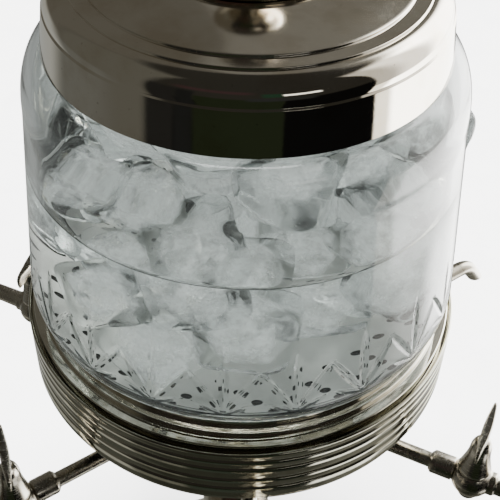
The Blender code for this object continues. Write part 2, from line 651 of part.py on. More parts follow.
def make_finial():
    base = shaped(FINIAL_BASE_SHARES, FINIAL_BASE_RADIUS, FINIAL_BASE_HEIGHT, FINIAL_BASE_BOTTOM)
    base += [(STUD_HOLE, FINIAL_BASE_BOTTOM), (STUD_HOLE, FINIAL_BASE_BOTTOM + FINIAL_BASE_HEIGHT)]
    turned("finial_base", base, MID_STEPS, NICKEL)
    knob = shaped(FINIAL_SHARES, FINIAL_RADIUS, FINIAL_HEIGHT, FINIAL_BOTTOM)
    stud_top = FINIAL_BOTTOM + STUD_GRIP
    knob += [(STUD_HOLE, FINIAL_BOTTOM), (STUD_HOLE, stud_top + GAP), (0.0, stud_top + GAP)]
    turned("finial", knob, MID_STEPS, NICKEL, closed=False)
    nut_top = LID_CROWN - LID_WALL - GAP
    nut_bottom = nut_top - STUD_NUT_HEIGHT
    turned("finial_stud", rod_outline(STUD_RADIUS, nut_bottom - STUD_TAIL, stud_top), SMALL_STEPS, STEEL,
           closed=False)
    make_hex_nut("finial_nut", STUD_NUT_RADIUS, STUD_HOLE, nut_bottom, nut_top)


OUTWARD = Matrix.Rotation(math.pi / 2, 4, "Y")


def tap_turn(i):
    return Matrix.Rotation(FIRST_TAP_ANGLE + math.tau * i / TAP_COUNT, 4, "Z")


def lay_outward(item):
    """Turn a piece made along Z so that it runs along +X, and keep the turn in its mesh."""
    settle(item)
    item.data.transform(OUTWARD)
    return item


def spout_curve(name, radius, tip_share, start, steps_past):
    """The spout's line as a tube: straight outwards, a bend, and straight down to past its mouth."""
    bend_end = Vector((
        SPOUT_STRAIGHT + SPOUT_BEND_RADIUS * math.sin(SPOUT_BEND), 0.0,
        SPOUT_BEND_RADIUS * (math.cos(SPOUT_BEND) - 1),
    ))
    fall = Vector((math.cos(SPOUT_BEND), 0.0, -math.sin(SPOUT_BEND)))
    tail = (SPOUT_DROP + bend_end.z) / math.sin(SPOUT_BEND) + steps_past
    points = [Vector((start, 0.0, 0.0))]
    for i in range(SPOUT_BEND_SEGMENTS + 1):
        angle = SPOUT_BEND * i / SPOUT_BEND_SEGMENTS
        points.append(Vector((
            SPOUT_STRAIGHT + SPOUT_BEND_RADIUS * math.sin(angle), 0.0,
            SPOUT_BEND_RADIUS * (math.cos(angle) - 1),
        )))
    points.append(bend_end + fall * tail)
    curve = bpy.data.curves.new(name, "CURVE")
    curve.dimensions = "3D"
    curve.bevel_depth = radius
    curve.bevel_resolution = SPOUT_RESOLUTION
    curve.use_fill_caps = True
    spline = curve.splines.new("POLY")
    spline.points.add(len(points) - 1)
    way = 0.0
    ways = [0.0]
    for a, b in zip(points, points[1:]):
        way += (b - a).length
        ways.append(way)
    for point, place, gone in zip(spline.points, points, ways):
        point.co = (*place, 1.0)
        point.radius = 1 + (tip_share - 1) * gone / way
    return curve


def make_tap_body():
    """Ball, inlet and spout as one casting, with the plug's bore and the waterway."""
    top_angle = math.degrees(math.asin(BALL_TOP / BALL_RADIUS))
    low_angle = -math.degrees(math.asin(BALL_BOTTOM / BALL_RADIUS))
    ball = arc((0.0, 0.0), (BALL_RADIUS, BALL_RADIUS), top_angle, low_angle, BALL_SEGMENTS)
    body = turned("tap_body_1", [(0.0, BALL_TOP)] + ball + [(0.0, -BALL_BOTTOM)], TAP_STEPS, DARK_NICKEL,
                  closed=False)
    inlet = turned_cutter("tap_inlet", rod_outline(INLET_RADIUS, -INLET_LENGTH, -INLET_ROOT), TAP_STEPS)
    lay_outward(inlet)
    change(body, inlet, "UNION")
    spout = curve_mesh("tap_spout", spout_curve("tap_spout", SPOUT_RADIUS, SPOUT_TIP_SHARE, SPOUT_ROOT,
                                                SPOUT_RADIUS * 2), CUTTERS)
    change(body, spout, "UNION")
    taper = (PLUG_TOP_RADIUS - PLUG_BOTTOM_RADIUS) / (BALL_TOP + BALL_BOTTOM)
    low = BALL_BOTTOM + OVERRUN
    high = BALL_TOP + OVERRUN
    bore = turned_cutter("tap_bore", [
        (0.0, high), (PLUG_TOP_RADIUS + GAP + taper * OVERRUN, high),
        (PLUG_BOTTOM_RADIUS + GAP - taper * OVERRUN, -low), (0.0, -low),
    ], TAP_STEPS)
    change(body, bore, "DIFFERENCE")
    socket_end = INLET_SOCKET_DEPTH - INLET_LENGTH
    socket = turned_cutter("tap_socket", [
        (0.0, 0.0), (WATERWAY_RADIUS, 0.0), (WATERWAY_RADIUS, socket_end), (PIPE_HOLE, socket_end),
        (PIPE_HOLE, -INLET_LENGTH - OVERRUN), (0.0, -INLET_LENGTH - OVERRUN),
    ], SMALL_STEPS)
    lay_outward(socket)
    change(body, socket, "DIFFERENCE")
    waterway = curve_mesh("tap_waterway", spout_curve("tap_waterway", WATERWAY_RADIUS, 1.0, 0.0,
                                                      SPOUT_RADIUS * 2 + OVERRUN), CUTTERS)
    change(body, waterway, "DIFFERENCE")
    reach = SPOUT_STRAIGHT + SPOUT_BEND_RADIUS + SPOUT_DROP
    mesh = bpy.data.meshes.new("spout_trim")
    trim = bmesh.new()
    bmesh.ops.create_cube(trim, size=reach, matrix=Matrix.Translation((reach, 0.0, -SPOUT_DROP - reach / 2)))
    trim.to_mesh(mesh)
    trim.free()
    change(body, add_object("spout_trim", mesh, CUTTERS), "DIFFERENCE")
    return settle(body)


def make_key():
    """Plug, bell and leaf as one casting; the leaf's tip points to +Y, and so does the closed waterway."""
    bell_base = BALL_TOP + GAP
    plug_end = GAP - BALL_BOTTOM
    stud_end = -BALL_BOTTOM - GAP - KEY_NUT_HEIGHT - KEY_STUD_TAIL
    outline = shaped(BELL_SHARES, BELL_RADIUS, BELL_HEIGHT, bell_base)
    outline += [
        (PLUG_TOP_RADIUS, bell_base), (PLUG_BOTTOM_RADIUS, plug_end), (KEY_STUD_RADIUS, plug_end),
        (KEY_STUD_RADIUS, stud_end), (0.0, stud_end),
    ]
    key = turned("tap_key_1", outline, TAP_STEPS, DARK_NICKEL, closed=False)
    curve = bpy.data.curves.new("leaf", "CURVE")
    curve.dimensions = "2D"
    curve.fill_mode = "BOTH"
    curve.extrude = LEAF_THICKNESS / 2
    spline = curve.splines.new("POLY")
    spline.points.add(len(LEAF_SHARES) - 1)
    spline.use_cyclic_u = True
    for point, (along, up) in zip(spline.points, LEAF_SHARES):
        point.co = (LEAF_REACH * along, LEAF_HEIGHT * up, 0.0, 1.0)
    leaf = curve_mesh("leaf", curve, CUTTERS)
    leaf.matrix_world = Matrix.Rotation(math.pi / 2, 4, "Z") @ Matrix.Rotation(math.pi / 2, 4, "X")
    change(key, leaf, "UNION")
    half = PLUG_TOP_RADIUS + OVERRUN
    port = turned_cutter("plug_port", rod_outline(WATERWAY_RADIUS, -half, half), SMALL_STEPS)
    port.matrix_world = Matrix.Rotation(math.pi / 2, 4, "X")
    change(key, port, "DIFFERENCE")
    return settle(key)


def make_key_nut():
    top = -BALL_BOTTOM - GAP
    hole = KEY_STUD_RADIUS + GAP
    nut = turned("key_nut_1", [
        (KEY_NUT_FLANGE_RADIUS, top), (KEY_NUT_FLANGE_RADIUS, top - KEY_NUT_FLANGE),
        (KEY_NUT_RADIUS, top - KEY_NUT_FLANGE), (KEY_NUT_RADIUS, top - KEY_NUT_HEIGHT),
        (hole, top - KEY_NUT_HEIGHT), (hole, top),
    ], SMALL_STEPS, DARK_NICKEL)
    return settle(nut)


def make_pipe():
    start = -TAP_REACH - PIPE_SOCKET_DEPTH + GAP
    end = INLET_SOCKET_DEPTH - INLET_LENGTH - GAP
    return lay_outward(turned("arm_pipe_1", ring_outline(PIPE_RADIUS - PIPE_WALL, PIPE_RADIUS, start, end),
                              SMALL_STEPS, DARK_NICKEL))


def make_hub_nut():
    low = GAP - TAP_REACH
    return lay_outward(make_hex_nut("hub_nut_1", HUB_NUT_RADIUS, PIPE_HOLE, low, low + HUB_NUT_LENGTH))


def make_union_nut():
    step = -INLET_LENGTH - GAP
    low = step - UNION_COLLAR
    high = low + UNION_LENGTH
    return lay_outward(turned("union_nut_1", [
        (UNION_RADIUS, high), (UNION_RADIUS, low + UNION_CHAMFER), (UNION_RADIUS - UNION_CHAMFER, low),
        (PIPE_HOLE, low), (PIPE_HOLE, step), (UNION_BORE, step), (UNION_BORE, high),
    ], TAP_STEPS, DARK_NICKEL))


def add_empty(name, parent=None):
    empty = bpy.data.objects.new(name, None)
    PARTS.objects.link(empty)
    empty.parent = parent
    return empty


def make_taps():
    """Six taps, each on an empty at its ball's centre; the key has an empty of its own on its axis."""
    fixed = {
        "arm_pipe": make_pipe(),
        "hub_nut": make_hub_nut(),
        "union_nut": make_union_nut(),
        "tap_body": make_tap_body(),
    }
    moving = {"tap_key": make_key(), "key_nut": make_key_nut()}
    for i in range(TAP_COUNT):
        frame = add_empty(f"tap_frame_{i + 1}")
        frame.matrix_world = tap_turn(i) @ Matrix.Translation((TAP_RADIUS, 0.0, ARM_Z))
        axis = add_empty(f"key_axis_{i + 1}", frame)
        axis.rotation_euler.z = math.radians(HANDLE_TURNS[i % len(HANDLE_TURNS)])
        for pieces, parent in ((fixed, frame), (moving, axis)):
            for name, first in pieces.items():
                piece = first if i == 0 else add_object(f"{name}_{i + 1}", first.data, PARTS)
                piece.parent = parent


make_pad()
make_foot()
make_tie_rod()
make_stem()
make_hub()
make_bushing()
make_pan()
make_collar()
make_strainer()
make_jar()
make_lid()
make_finial()
make_taps()
for item in PARTS.objects:
    if item.type == "MESH" and item.modifiers:
        settle(item)
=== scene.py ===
"""Absinthe fountain: fine surfaces, water, ice, materials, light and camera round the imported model.

Outlines are (radius, height) points in millimetres that run down the outer side of a turned piece.
Everything is made in millimetres and scaled to metres when its mesh is built.
"""
import math
import random

import bmesh
import bpy
import numpy as np
from mathutils import Matrix, Vector, noise


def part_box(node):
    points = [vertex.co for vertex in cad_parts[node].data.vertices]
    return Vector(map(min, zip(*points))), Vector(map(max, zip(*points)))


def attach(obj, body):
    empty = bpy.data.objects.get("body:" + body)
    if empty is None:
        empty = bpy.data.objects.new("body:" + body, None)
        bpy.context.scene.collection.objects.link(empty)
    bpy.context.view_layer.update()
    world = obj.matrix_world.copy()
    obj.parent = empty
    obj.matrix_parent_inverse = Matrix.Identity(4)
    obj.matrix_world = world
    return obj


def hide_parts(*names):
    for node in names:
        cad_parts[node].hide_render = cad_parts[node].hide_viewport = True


MM = 0.001
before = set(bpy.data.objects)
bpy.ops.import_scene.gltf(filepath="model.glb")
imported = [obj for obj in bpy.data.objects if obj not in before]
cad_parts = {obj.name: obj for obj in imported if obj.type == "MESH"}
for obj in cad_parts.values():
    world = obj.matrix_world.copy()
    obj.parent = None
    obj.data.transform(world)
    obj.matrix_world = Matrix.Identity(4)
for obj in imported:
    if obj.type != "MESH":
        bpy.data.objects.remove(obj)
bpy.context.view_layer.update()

# Mesh settings
FINE_STEPS = 256
MID_STEPS = 128
TAP_STEPS = 96
SHARP_ANGLE = math.radians(35)
WELD = 0.000002

TAP_COUNT = 6
FIRST_TAP_ANGLE = 30.0
HANDLE_TURNS = (0, 180, 180, 162, 180, 0)


# Helpers for outlines
def low(node):
    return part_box(node)[0].z / MM


def high(node):
    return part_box(node)[1].z / MM


def span(node):
    return low(node), high(node)


def arc(centre, reach, start, end, segments, power=2.0):
    """Points along a superellipse, from one angle to another; a power of 2 gives a plain ellipse."""
    points = []
    for i in range(segments + 1):
        angle = math.radians(start + (end - start) * i / segments)
        across = math.cos(angle)
        up = math.sin(angle)
        points.append((
            centre[0] + reach[0] * math.copysign(abs(across) ** (2.0 / power), across),
            centre[1] + reach[1] * math.copysign(abs(up) ** (2.0 / power), up),
        ))
    return points


def shaped(shares, radius, height, base=0.0):
    """An outline from shares of a radius and of a height above a base."""
    return [(radius * across, base + height * up) for across, up in shares]


def between(shares, inner, outer, bottom, top):
    """An outline from shares of the way from one radius and height to another."""
    return [(inner + (outer - inner) * across, bottom + (top - bottom) * up) for across, up in shares]


def flowing(points, segments=6):
    """A smooth curve through the points (centripetal Catmull-Rom)."""
    first = [2 * points[0][k] - points[1][k] for k in (0, 1)]
    last = [2 * points[-1][k] - points[-2][k] for k in (0, 1)]
    line = [Vector(p) for p in [first] + list(points) + [last]]
    out = []
    for i in range(1, len(line) - 2):
        a, b, c, d = line[i - 1:i + 3]
        knots = [0.0]
        for p, q in ((a, b), (b, c), (c, d)):
            knots.append(knots[-1] + max((q - p).length, 1e-6) ** 0.5)
        for j in range(segments):
            t = knots[1] + (knots[2] - knots[1]) * j / segments
            ab = a.lerp(b, (t - knots[0]) / (knots[1] - knots[0]))
            bc = b.lerp(c, (t - knots[1]) / (knots[2] - knots[1]))
            cd = c.lerp(d, (t - knots[2]) / (knots[3] - knots[2]))
            abc = ab.lerp(bc, (t - knots[0]) / (knots[2] - knots[0]))
            bcd = bc.lerp(cd, (t - knots[1]) / (knots[3] - knots[1]))
            point = abc.lerp(bcd, (t - knots[1]) / (knots[2] - knots[1]))
            out.append((point.x, point.y))
    return out + [tuple(points[-1])]


def rounded(points, radius, closed=True, segments=4, least_turn=20.0):
    """The outline with its corners rounded, each at most as far as its shorter side allows."""
    count = len(points)
    out = []
    for i, here in enumerate(points):
        here = Vector(here)
        if not closed and i in (0, count - 1):
            out.append(tuple(here))
            continue
        before = Vector(points[i - 1]) - here
        after = Vector(points[(i + 1) % count]) - here
        turn = math.pi - before.angle(after, math.pi)
        if turn < math.radians(least_turn):
            out.append(tuple(here))
            continue
        cut = min(radius * math.tan(turn / 2), 0.45 * before.length, 0.45 * after.length)
        start = here + before.normalized() * cut
        end = here + after.normalized() * cut
        for j in range(segments + 1):
            t = j / segments
            point = start.lerp(here, t).lerp(here.lerp(end, t), t)
            out.append((point.x, point.y))
    return out


def thicken(outline, wall, level_start=False, level_end=False):
    """Close an outline into a wall of even thickness on its inner side."""
    lines = [Vector(b) - Vector(a) for a, b in zip(outline, outline[1:])]
    normals = [Vector((line.y, -line.x)).normalized() for line in lines]
    inner = []
    for i, point in enumerate(outline):
        before = normals[max(i - 1, 0)]
        after = normals[min(i, len(normals) - 1)]
        middle = (before + after).normalized()
        offset = Vector(point) + middle * (wall / max(middle.dot(after), 0.5))
        inner.append([offset.x, offset.y])
    if level_start:
        inner[0][1] = outline[0][1]
    if level_end:
        inner[-1][1] = outline[-1][1]
    return list(outline) + [tuple(point) for point in reversed(inner)]


# Helpers for meshes
def add(name, data):
    item = bpy.data.objects.new(name, data)
    bpy.context.scene.collection.objects.link(item)
    return item


def remove(item):
    bpy.data.objects.remove(item, do_unlink=True)


def smooth(mesh):
    mesh.shade_smooth()
    mesh.set_sharp_from_angle(angle=SHARP_ANGLE)
    return mesh


def weld(mesh):
    work = bmesh.new()
    work.from_mesh(mesh)
    bmesh.ops.remove_doubles(work, verts=work.verts, dist=WELD)
    work.to_mesh(mesh)
    work.free()
    return mesh


def ring_mesh(name, rings, rows):
    """A mesh of rings of points, with quads from each of the first rows to the one below it."""
    count, steps = rings.shape[:2]
    here = np.arange(rows)[:, None] * steps
    below = (np.arange(1, rows + 1) % count)[:, None] * steps
    now = np.arange(steps)[None, :]
    then = (now + 1) % steps
    faces = np.stack([here + now, below + now, below + then, here + then], axis=-1).reshape(-1, 4)
    mesh = bpy.data.meshes.new(name)
    mesh.from_pydata(rings.reshape(-1, 3).tolist(), [], faces.tolist())
    return mesh


def lathe(name, outline, steps, closed=True):
    """A turned mesh; an open outline starts and ends on the axis."""
    points = np.array(outline, float) * MM
    angles = np.arange(steps) * math.tau / steps
    rings = np.empty((len(points), steps, 3))
    rings[:, :, 0] = points[:, 0:1] * np.cos(angles)
    rings[:, :, 1] = points[:, 0:1] * np.sin(angles)
    rings[:, :, 2] = points[:, 1:2]
    rows = len(points) if closed else len(points) - 1
    return smooth(weld(ring_mesh(name, rings, rows)))


def tube(name, points, radii, sides, turn=0.0):
    """A round tube along points in the XZ plane, with flat ends, in millimetres."""
    verts = []
    faces = []
    line = [Vector(p) for p in points]
    for i, point in enumerate(line):
        before = line[max(i - 1, 0)]
        after = line[min(i + 1, len(line) - 1)]
        along = (after - before).normalized()
        side = Vector((0.0, 1.0, 0.0))
        up = along.cross(side)
        for j in range(sides):
            angle = math.tau * (j + turn) / sides
            verts.append((point + (side * math.cos(angle) + up * math.sin(angle)) * radii[i]) * MM)
    for i in range(len(line) - 1):
        for j in range(sides):
            k = (j + 1) % sides
            faces.append((i * sides + j, i * sides + k, (i + 1) * sides + k, (i + 1) * sides + j))
    faces.append(tuple(reversed(range(sides))))
    faces.append(tuple((len(line) - 1) * sides + j for j in range(sides)))
    mesh = bpy.data.meshes.new(name)
    mesh.from_pydata(verts, [], faces)
    work = bmesh.new()
    work.from_mesh(mesh)
    bmesh.ops.recalc_face_normals(work, faces=work.faces)
    work.to_mesh(mesh)
    work.free()
    return mesh


def evaluated(item):
    bpy.context.view_layer.update()
    graph = bpy.context.evaluated_depsgraph_get()
    return bpy.data.meshes.new_from_object(item.evaluated_get(graph))


def joined(name, meshes):
    work = bmesh.new()
    for mesh in meshes:
        work.from_mesh(mesh)
    out = bpy.data.meshes.new(name)
    work.to_mesh(out)
    work.free()
    return out


def cut_out(item, name, cutter):
    """The item's mesh without the space of a cutter mesh."""
    other = add(name, cutter)
    cut = item.modifiers.new("cut", "BOOLEAN")
    cut.operation = "DIFFERENCE"
    cut.solver = "EXACT"
    cut.object = other
    mesh = evaluated(item)
    item.modifiers.clear()
    remove(other)
    return mesh


def fused(name, meshes, voxel, rounds, cutters=()):
    """Closed meshes melted into one casting with soft inner corners; cutters are then taken out."""
    item = add(name, joined(name, meshes))
    remesh = item.modifiers.new("melt", "REMESH")
    remesh.mode = "VOXEL"
    remesh.voxel_size = voxel * MM
    soften = item.modifiers.new("soften", "SMOOTH")
    soften.factor = 0.5
    soften.iterations = rounds
    mesh = evaluated(item)
    item.modifiers.clear()
    item.data = mesh
    for cutter in cutters:
        mesh = cut_out(item, name + "_cutter", cutter)
        item.data = mesh
    remove(item)
    mesh.name = name
    return smooth(mesh)


def place(name, mesh, body, material, nodes=(), slot=None, matrix=None):
    """Puts a mesh in the scene as a piece that rides on a body and stands for CAD nodes."""
    item = add(name, mesh)
    if not mesh.materials:
        mesh.materials.append(material)
    if matrix is not None:
        item.matrix_world = matrix
    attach(item, body)
    if nodes:
        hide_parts(*nodes)
    return item


def turned(node, outline, steps, material, slot="bright_nickel", body="base", closed=True):
    """Places a turned piece that stands for one CAD node."""
    name = f"visual_{node}"
    return place(name, lathe(name, outline, steps, closed), body, material, [node], slot)


# Materials
class Graph:
    """Adds shader nodes; each input takes a plain value or another node's output."""

    def __init__(self, tree):
        self.tree = tree

    def node(self, kind, **settings):
        node = self.tree.nodes.new(kind)
        for name, value in settings.items():
            setattr(node, name, value)
        return node

    def feed(self, socket, value):
        if isinstance(value, bpy.types.NodeSocket):
            self.tree.links.new(value, socket)
        else:
            socket.default_value = value

    def math(self, operation, a, b=0.0, clamp=False):
        node = self.node("ShaderNodeMath", operation=operation, use_clamp=clamp)
        self.feed(node.inputs[0], a)
        self.feed(node.inputs[1], b)
        return node.outputs[0]

    def times(self, a, b, clamp=False):
        return self.math("MULTIPLY", a, b, clamp)

    def mix(self, share, a, b):
        node = self.node("ShaderNodeMix", data_type="RGBA")
        self.feed(node.inputs["Factor"], share)
        self.feed(node.inputs[6], a if isinstance(a, bpy.types.NodeSocket) else (*a, 1.0))
        self.feed(node.inputs[7], b if isinstance(b, bpy.types.NodeSocket) else (*b, 1.0))
        return node.outputs[2]

    def ramp(self, value, start, end, first=0.0, last=1.0):
        """A soft change from first to last while the value goes from start to end."""
        node = self.node("ShaderNodeMapRange", interpolation_type="SMOOTHSTEP")
        for socket, given in zip(node.inputs, (value, start, end, first, last)):
            self.feed(socket, given)
        return node.outputs[0]

    def window(self, value, start, end, soft):
        """One between start and end, nought outside, with soft sides."""
        rise = self.ramp(value, start - soft, start + soft)
        fall = self.ramp(value, end - soft, end + soft, 1.0, 0.0)
        return self.times(rise, fall)

    def noise(self, vector, size, detail=4.0, rough=0.5):
        """Noise from 0 to 1 whose features are about a size in millimetres."""
        node = self.node("ShaderNodeTexNoise")
        self.feed(node.inputs["Vector"], vector)
        node.inputs["Scale"].default_value = 1.0 / (size * MM)
        node.inputs["Detail"].default_value = detail
        node.inputs["Roughness"].default_value = rough
        return node.outputs["Fac"]

    def bump(self, height, depth, strength=1.0, below=None):
        """A bump of a depth in millimetres."""
        node = self.node("ShaderNodeBump")
        node.inputs["Strength"].default_value = strength
        node.inputs["Distance"].default_value = depth * MM
        self.feed(node.inputs["Height"], height)
        if below is not None:
            self.feed(node.inputs["Normal"], below)
        return node.outputs["Normal"]

    def place(self):
        return self.node("ShaderNodeTexCoord").outputs["Object"]

    def round_the_axis(self, place):
        """Distance from the piece's Z axis, height, and a vector of the two for lines left by turning."""
        split = self.node("ShaderNodeSeparateXYZ")
        self.feed(split.inputs[0], place)
        x, y, z = split.outputs
        radius = self.math("SQRT", self.math("ADD", self.times(x, x), self.times(y, y)))
        both = self.node("ShaderNodeCombineXYZ")
        self.feed(both.inputs[0], radius)
        self.feed(both.inputs[1], z)
        return radius, z, both.outputs[0]


def new_material(name):
    material = bpy.data.materials.new(name)
    material.use_nodes = True
    return material, material.node_tree.nodes["Principled BSDF"], Graph(material.node_tree)


def metal(name, colour, tarnish, rough, smear=0.08, line_size=0.35, line_depth=0.002, wave=0.03,
          painted_shade_inside=None, satin_above=None):
    """Polished nickel silver with tarnish clouds, finger smears, fine turning lines and slight waves.

    The painted shade inside is a radius, a height and a softness: what is below and inside them is painted
    near black, standing in for the shade in holes and hollows, and is rougher.
    satin_above is a height and a gloss that the surface has above it.
    """
    material, shader, graph = new_material(name)
    place = graph.place()
    radius, height, profile = graph.round_the_axis(place)
    cloud = graph.noise(place, 22.0, 5.0, 0.6)
    speck = graph.noise(place, 1.6, 3.0, 0.6)
    lines = graph.noise(profile, line_size, 2.0, 0.7)
    fingers = graph.noise(place, 9.0, 6.0, 0.65)
    worn = graph.ramp(cloud, 0.42, 0.72, 0.0, 0.75)
    shade = graph.mix(worn, colour, tarnish)
    pits = graph.ramp(speck, 0.66, 0.78, 0.0, 0.5)
    shade = graph.mix(pits, shade, tuple(0.45 * c for c in tarnish))
    gloss = graph.ramp(fingers, 0.5, 0.78, rough, rough + smear)
    gloss = graph.math("ADD", gloss, graph.ramp(lines, 0.45, 0.8, 0.0, smear * 0.4))
    gloss = graph.math("ADD", gloss, graph.times(pits, 0.12))
    # Painted shade: below the given height and inside the given radius the colour goes near black, where
    # holes and hollows lie in shade.
    if painted_shade_inside is not None:
        reach, top, soft = painted_shade_inside
        painted_shade_share = graph.times(graph.ramp(radius, (reach - soft) * MM, reach * MM, 1.0, 0.0),
                            graph.ramp(height, (top - soft) * MM, top * MM, 1.0, 0.0))
        shade = graph.mix(painted_shade_share, shade, (0.012, 0.012, 0.011))
        gloss = graph.math("ADD", gloss, graph.times(painted_shade_share, 0.5))
    if satin_above is not None:
        level, satin = satin_above
        gloss = graph.math("ADD", gloss, graph.ramp(height, level * MM, (level + 1) * MM, 0.0, satin))
    graph.feed(shader.inputs["Base Color"], shade)
    graph.feed(shader.inputs["Roughness"], gloss)
    shader.inputs["Metallic"].default_value = 1.0
    normal = graph.bump(graph.noise(place, 16.0, 2.0, 0.4), wave)
    normal = graph.bump(lines, line_depth, 1.0, normal)
    graph.feed(shader.inputs["Normal"], graph.bump(speck, 0.01, 0.5, normal))
    return material


def plain(name, colour, change, metallic, rough, size, depth):
    """A dull surface with uneven colour, gloss and grain."""
    material, shader, graph = new_material(name)
    place = graph.place()
    grain = graph.noise(place, size, 6.0, 0.6)
    graph.feed(shader.inputs["Base Color"], graph.mix(graph.ramp(grain, 0.35, 0.7), colour, change))
    graph.feed(shader.inputs["Roughness"], graph.ramp(grain, 0.3, 0.75, rough, rough + 0.15))
    shader.inputs["Metallic"].default_value = metallic
    graph.feed(shader.inputs["Normal"], graph.bump(grain, depth))
    return material


def clear(name, colour, ior, rough, smear, wave_size, wave, deeper=None):
    """Clear glass, water or ice, with faint waves and a film that shows here and there."""
    material, shader, graph = new_material(name)
    place = graph.place()
    waves = graph.noise(place, wave_size, 3.0, 0.5)
    film = graph.noise(place, wave_size * 1.7, 6.0, 0.65)
    tone = graph.mix(graph.ramp(film, 0.4, 0.7), colour, deeper or tuple(0.98 * c for c in colour))
    graph.feed(shader.inputs["Base Color"], tone)
    graph.feed(shader.inputs["Roughness"], graph.ramp(film, 0.5, 0.8, rough, rough + smear))
    shader.inputs["Transmission Weight"].default_value = 1.0
    shader.inputs["IOR"].default_value = ior
    graph.feed(shader.inputs["Normal"], graph.bump(waves, wave))
    return material


def frost(name, colour, least, most, painted_glow):
    """The white cloud inside an ice cube: dense in the middle, gone at its outline.

    The glow strength is a painted glow: the cloud emits light that stands in for the light that clear ice and
    water round it pass on to it from all sides.
    """
    material, shader, graph = new_material(name)
    place = graph.place()
    cloud = graph.noise(place, 7.0, 5.0, 0.6)
    facing = graph.node("ShaderNodeLayerWeight")
    facing.inputs["Blend"].default_value = 0.5
    core = graph.ramp(facing.outputs["Facing"], 0.1, 0.85, 1.0, 0.0)
    share = graph.times(core, graph.ramp(cloud, 0.36, 0.66, least, most), True)
    graph.feed(shader.inputs["Alpha"], share)
    shade = graph.mix(cloud, colour, tuple(0.86 * c for c in colour))
    graph.feed(shader.inputs["Base Color"], shade)
    # Painted glow: the cloud emits its own colour, standing in for light that reaches it through the ice and
    # water.
    graph.feed(shader.inputs["Emission Color"], shade)
    shader.inputs["Emission Strength"].default_value = painted_glow
    shader.inputs["Roughness"].default_value = 0.9
    shader.inputs["Specular IOR Level"].default_value = 0.0
    graph.feed(shader.inputs["Normal"], graph.bump(cloud, 1.0))
    return material


LID_NICKEL = metal("lid_nickel", (0.76, 0.71, 0.62), (0.62, 0.55, 0.43), 0.035, 0.05,
                   satin_above=(463.5, 0.07))
NICKEL = metal("bright_nickel", (0.7, 0.65, 0.56), (0.5, 0.44, 0.34), 0.08, 0.1)
# The pan gets painted shade on its inside, within the cup's bore and below the given height.
CUP_NICKEL = metal("cup_nickel", (0.74, 0.71, 0.62), (0.5, 0.46, 0.36), 0.05, 0.08,
                   painted_shade_inside=(85.5, 314.6, 1.0))
COLLAR_NICKEL = metal("collar_nickel", (0.54, 0.52, 0.43), (0.37, 0.35, 0.27), 0.09, 0.06, 0.6, 0.0004, 0.002)
DARK_NICKEL = metal("dark_nickel", (0.6, 0.56, 0.48), (0.34, 0.31, 0.25), 0.24, 0.14, 0.5, 0.002)
# The strainer gets painted shade on its hole walls, outer edge and underside, everywhere below its top face.
STRAINER = metal("strainer_nickel", (0.8, 0.8, 0.77), (0.6, 0.6, 0.57), 0.3, 0.12, 0.8, 0.006, 0.05,
                 painted_shade_inside=(90.0, 315.0, 0.1))
GLASS = clear("jar_glass", (0.94, 0.965, 0.952), 1.5, 0.0, 0.02, 26.0, 0.01)
WATER = clear("water", (0.975, 0.988, 0.982), 1.333, 0.0, 0.01, 14.0, 0.05)
ICE = clear("ice", (0.97, 0.985, 0.98), 1.1, 0.06, 0.25, 11.0, 0.35, (0.94, 0.96, 0.955))
# The last number is the strength of the ice cloud's painted glow.
FROST = frost("ice_cloud", (0.88, 0.92, 0.91), 0.2, 0.85, 0.42)
STEEL = plain("plain_steel", (0.5, 0.5, 0.5), (0.36, 0.36, 0.35), 1.0, 0.32, 3.0, 0.02)
IRON = plain("cast_iron", (0.08, 0.08, 0.085), (0.04, 0.04, 0.04), 0.6, 0.6, 2.0, 0.15)
RUBBER = plain("black_rubber", (0.03, 0.03, 0.03), (0.05, 0.05, 0.048), 0.0, 0.6, 2.5, 0.05)
FLOOR = plain("floor", (0.86, 0.86, 0.855), (0.83, 0.83, 0.825), 0.0, 0.8, 40.0, 0.02)

# Foot, stem and hub
FOOT_RADIUS = 79.0
FOOT_TOP_RADIUS = 33.0
FOOT_WALL = 1.6
FOOT_LIP_ROUND = 0.8
PAD_PROUD = 1.0
PAD_WIDTH = 5.0
PAD_ROUND = 0.6
FOOT_SLOPE_SHARES = (
    (0.08, 0.94), (0.19, 0.75), (0.4, 0.54), (0.75, 0.38), (0.93, 0.25), (1.0, 0.08),
)
ROD_HOLE = 4.3
STEM_TOP_RADIUS = 39.5
STEM_WALL = 2.0
STEM_SHARES = (
    (1.0, 1.0), (0.965, 0.92), (0.885, 0.84), (0.755, 0.788), (0.65, 0.745), (0.553, 0.633),
    (0.485, 0.47), (0.47, 0.28), (0.56, 0.13), (0.73, 0.035), (0.82, 0.0),
)
RING_RADIUS = 36.0
RING_BORE = 26.0
HUB_RADIUS = 41.0
HUB_CHAMFER = 1.5
HUB_BORE = 12.0
HUB_ROUND = 0.5


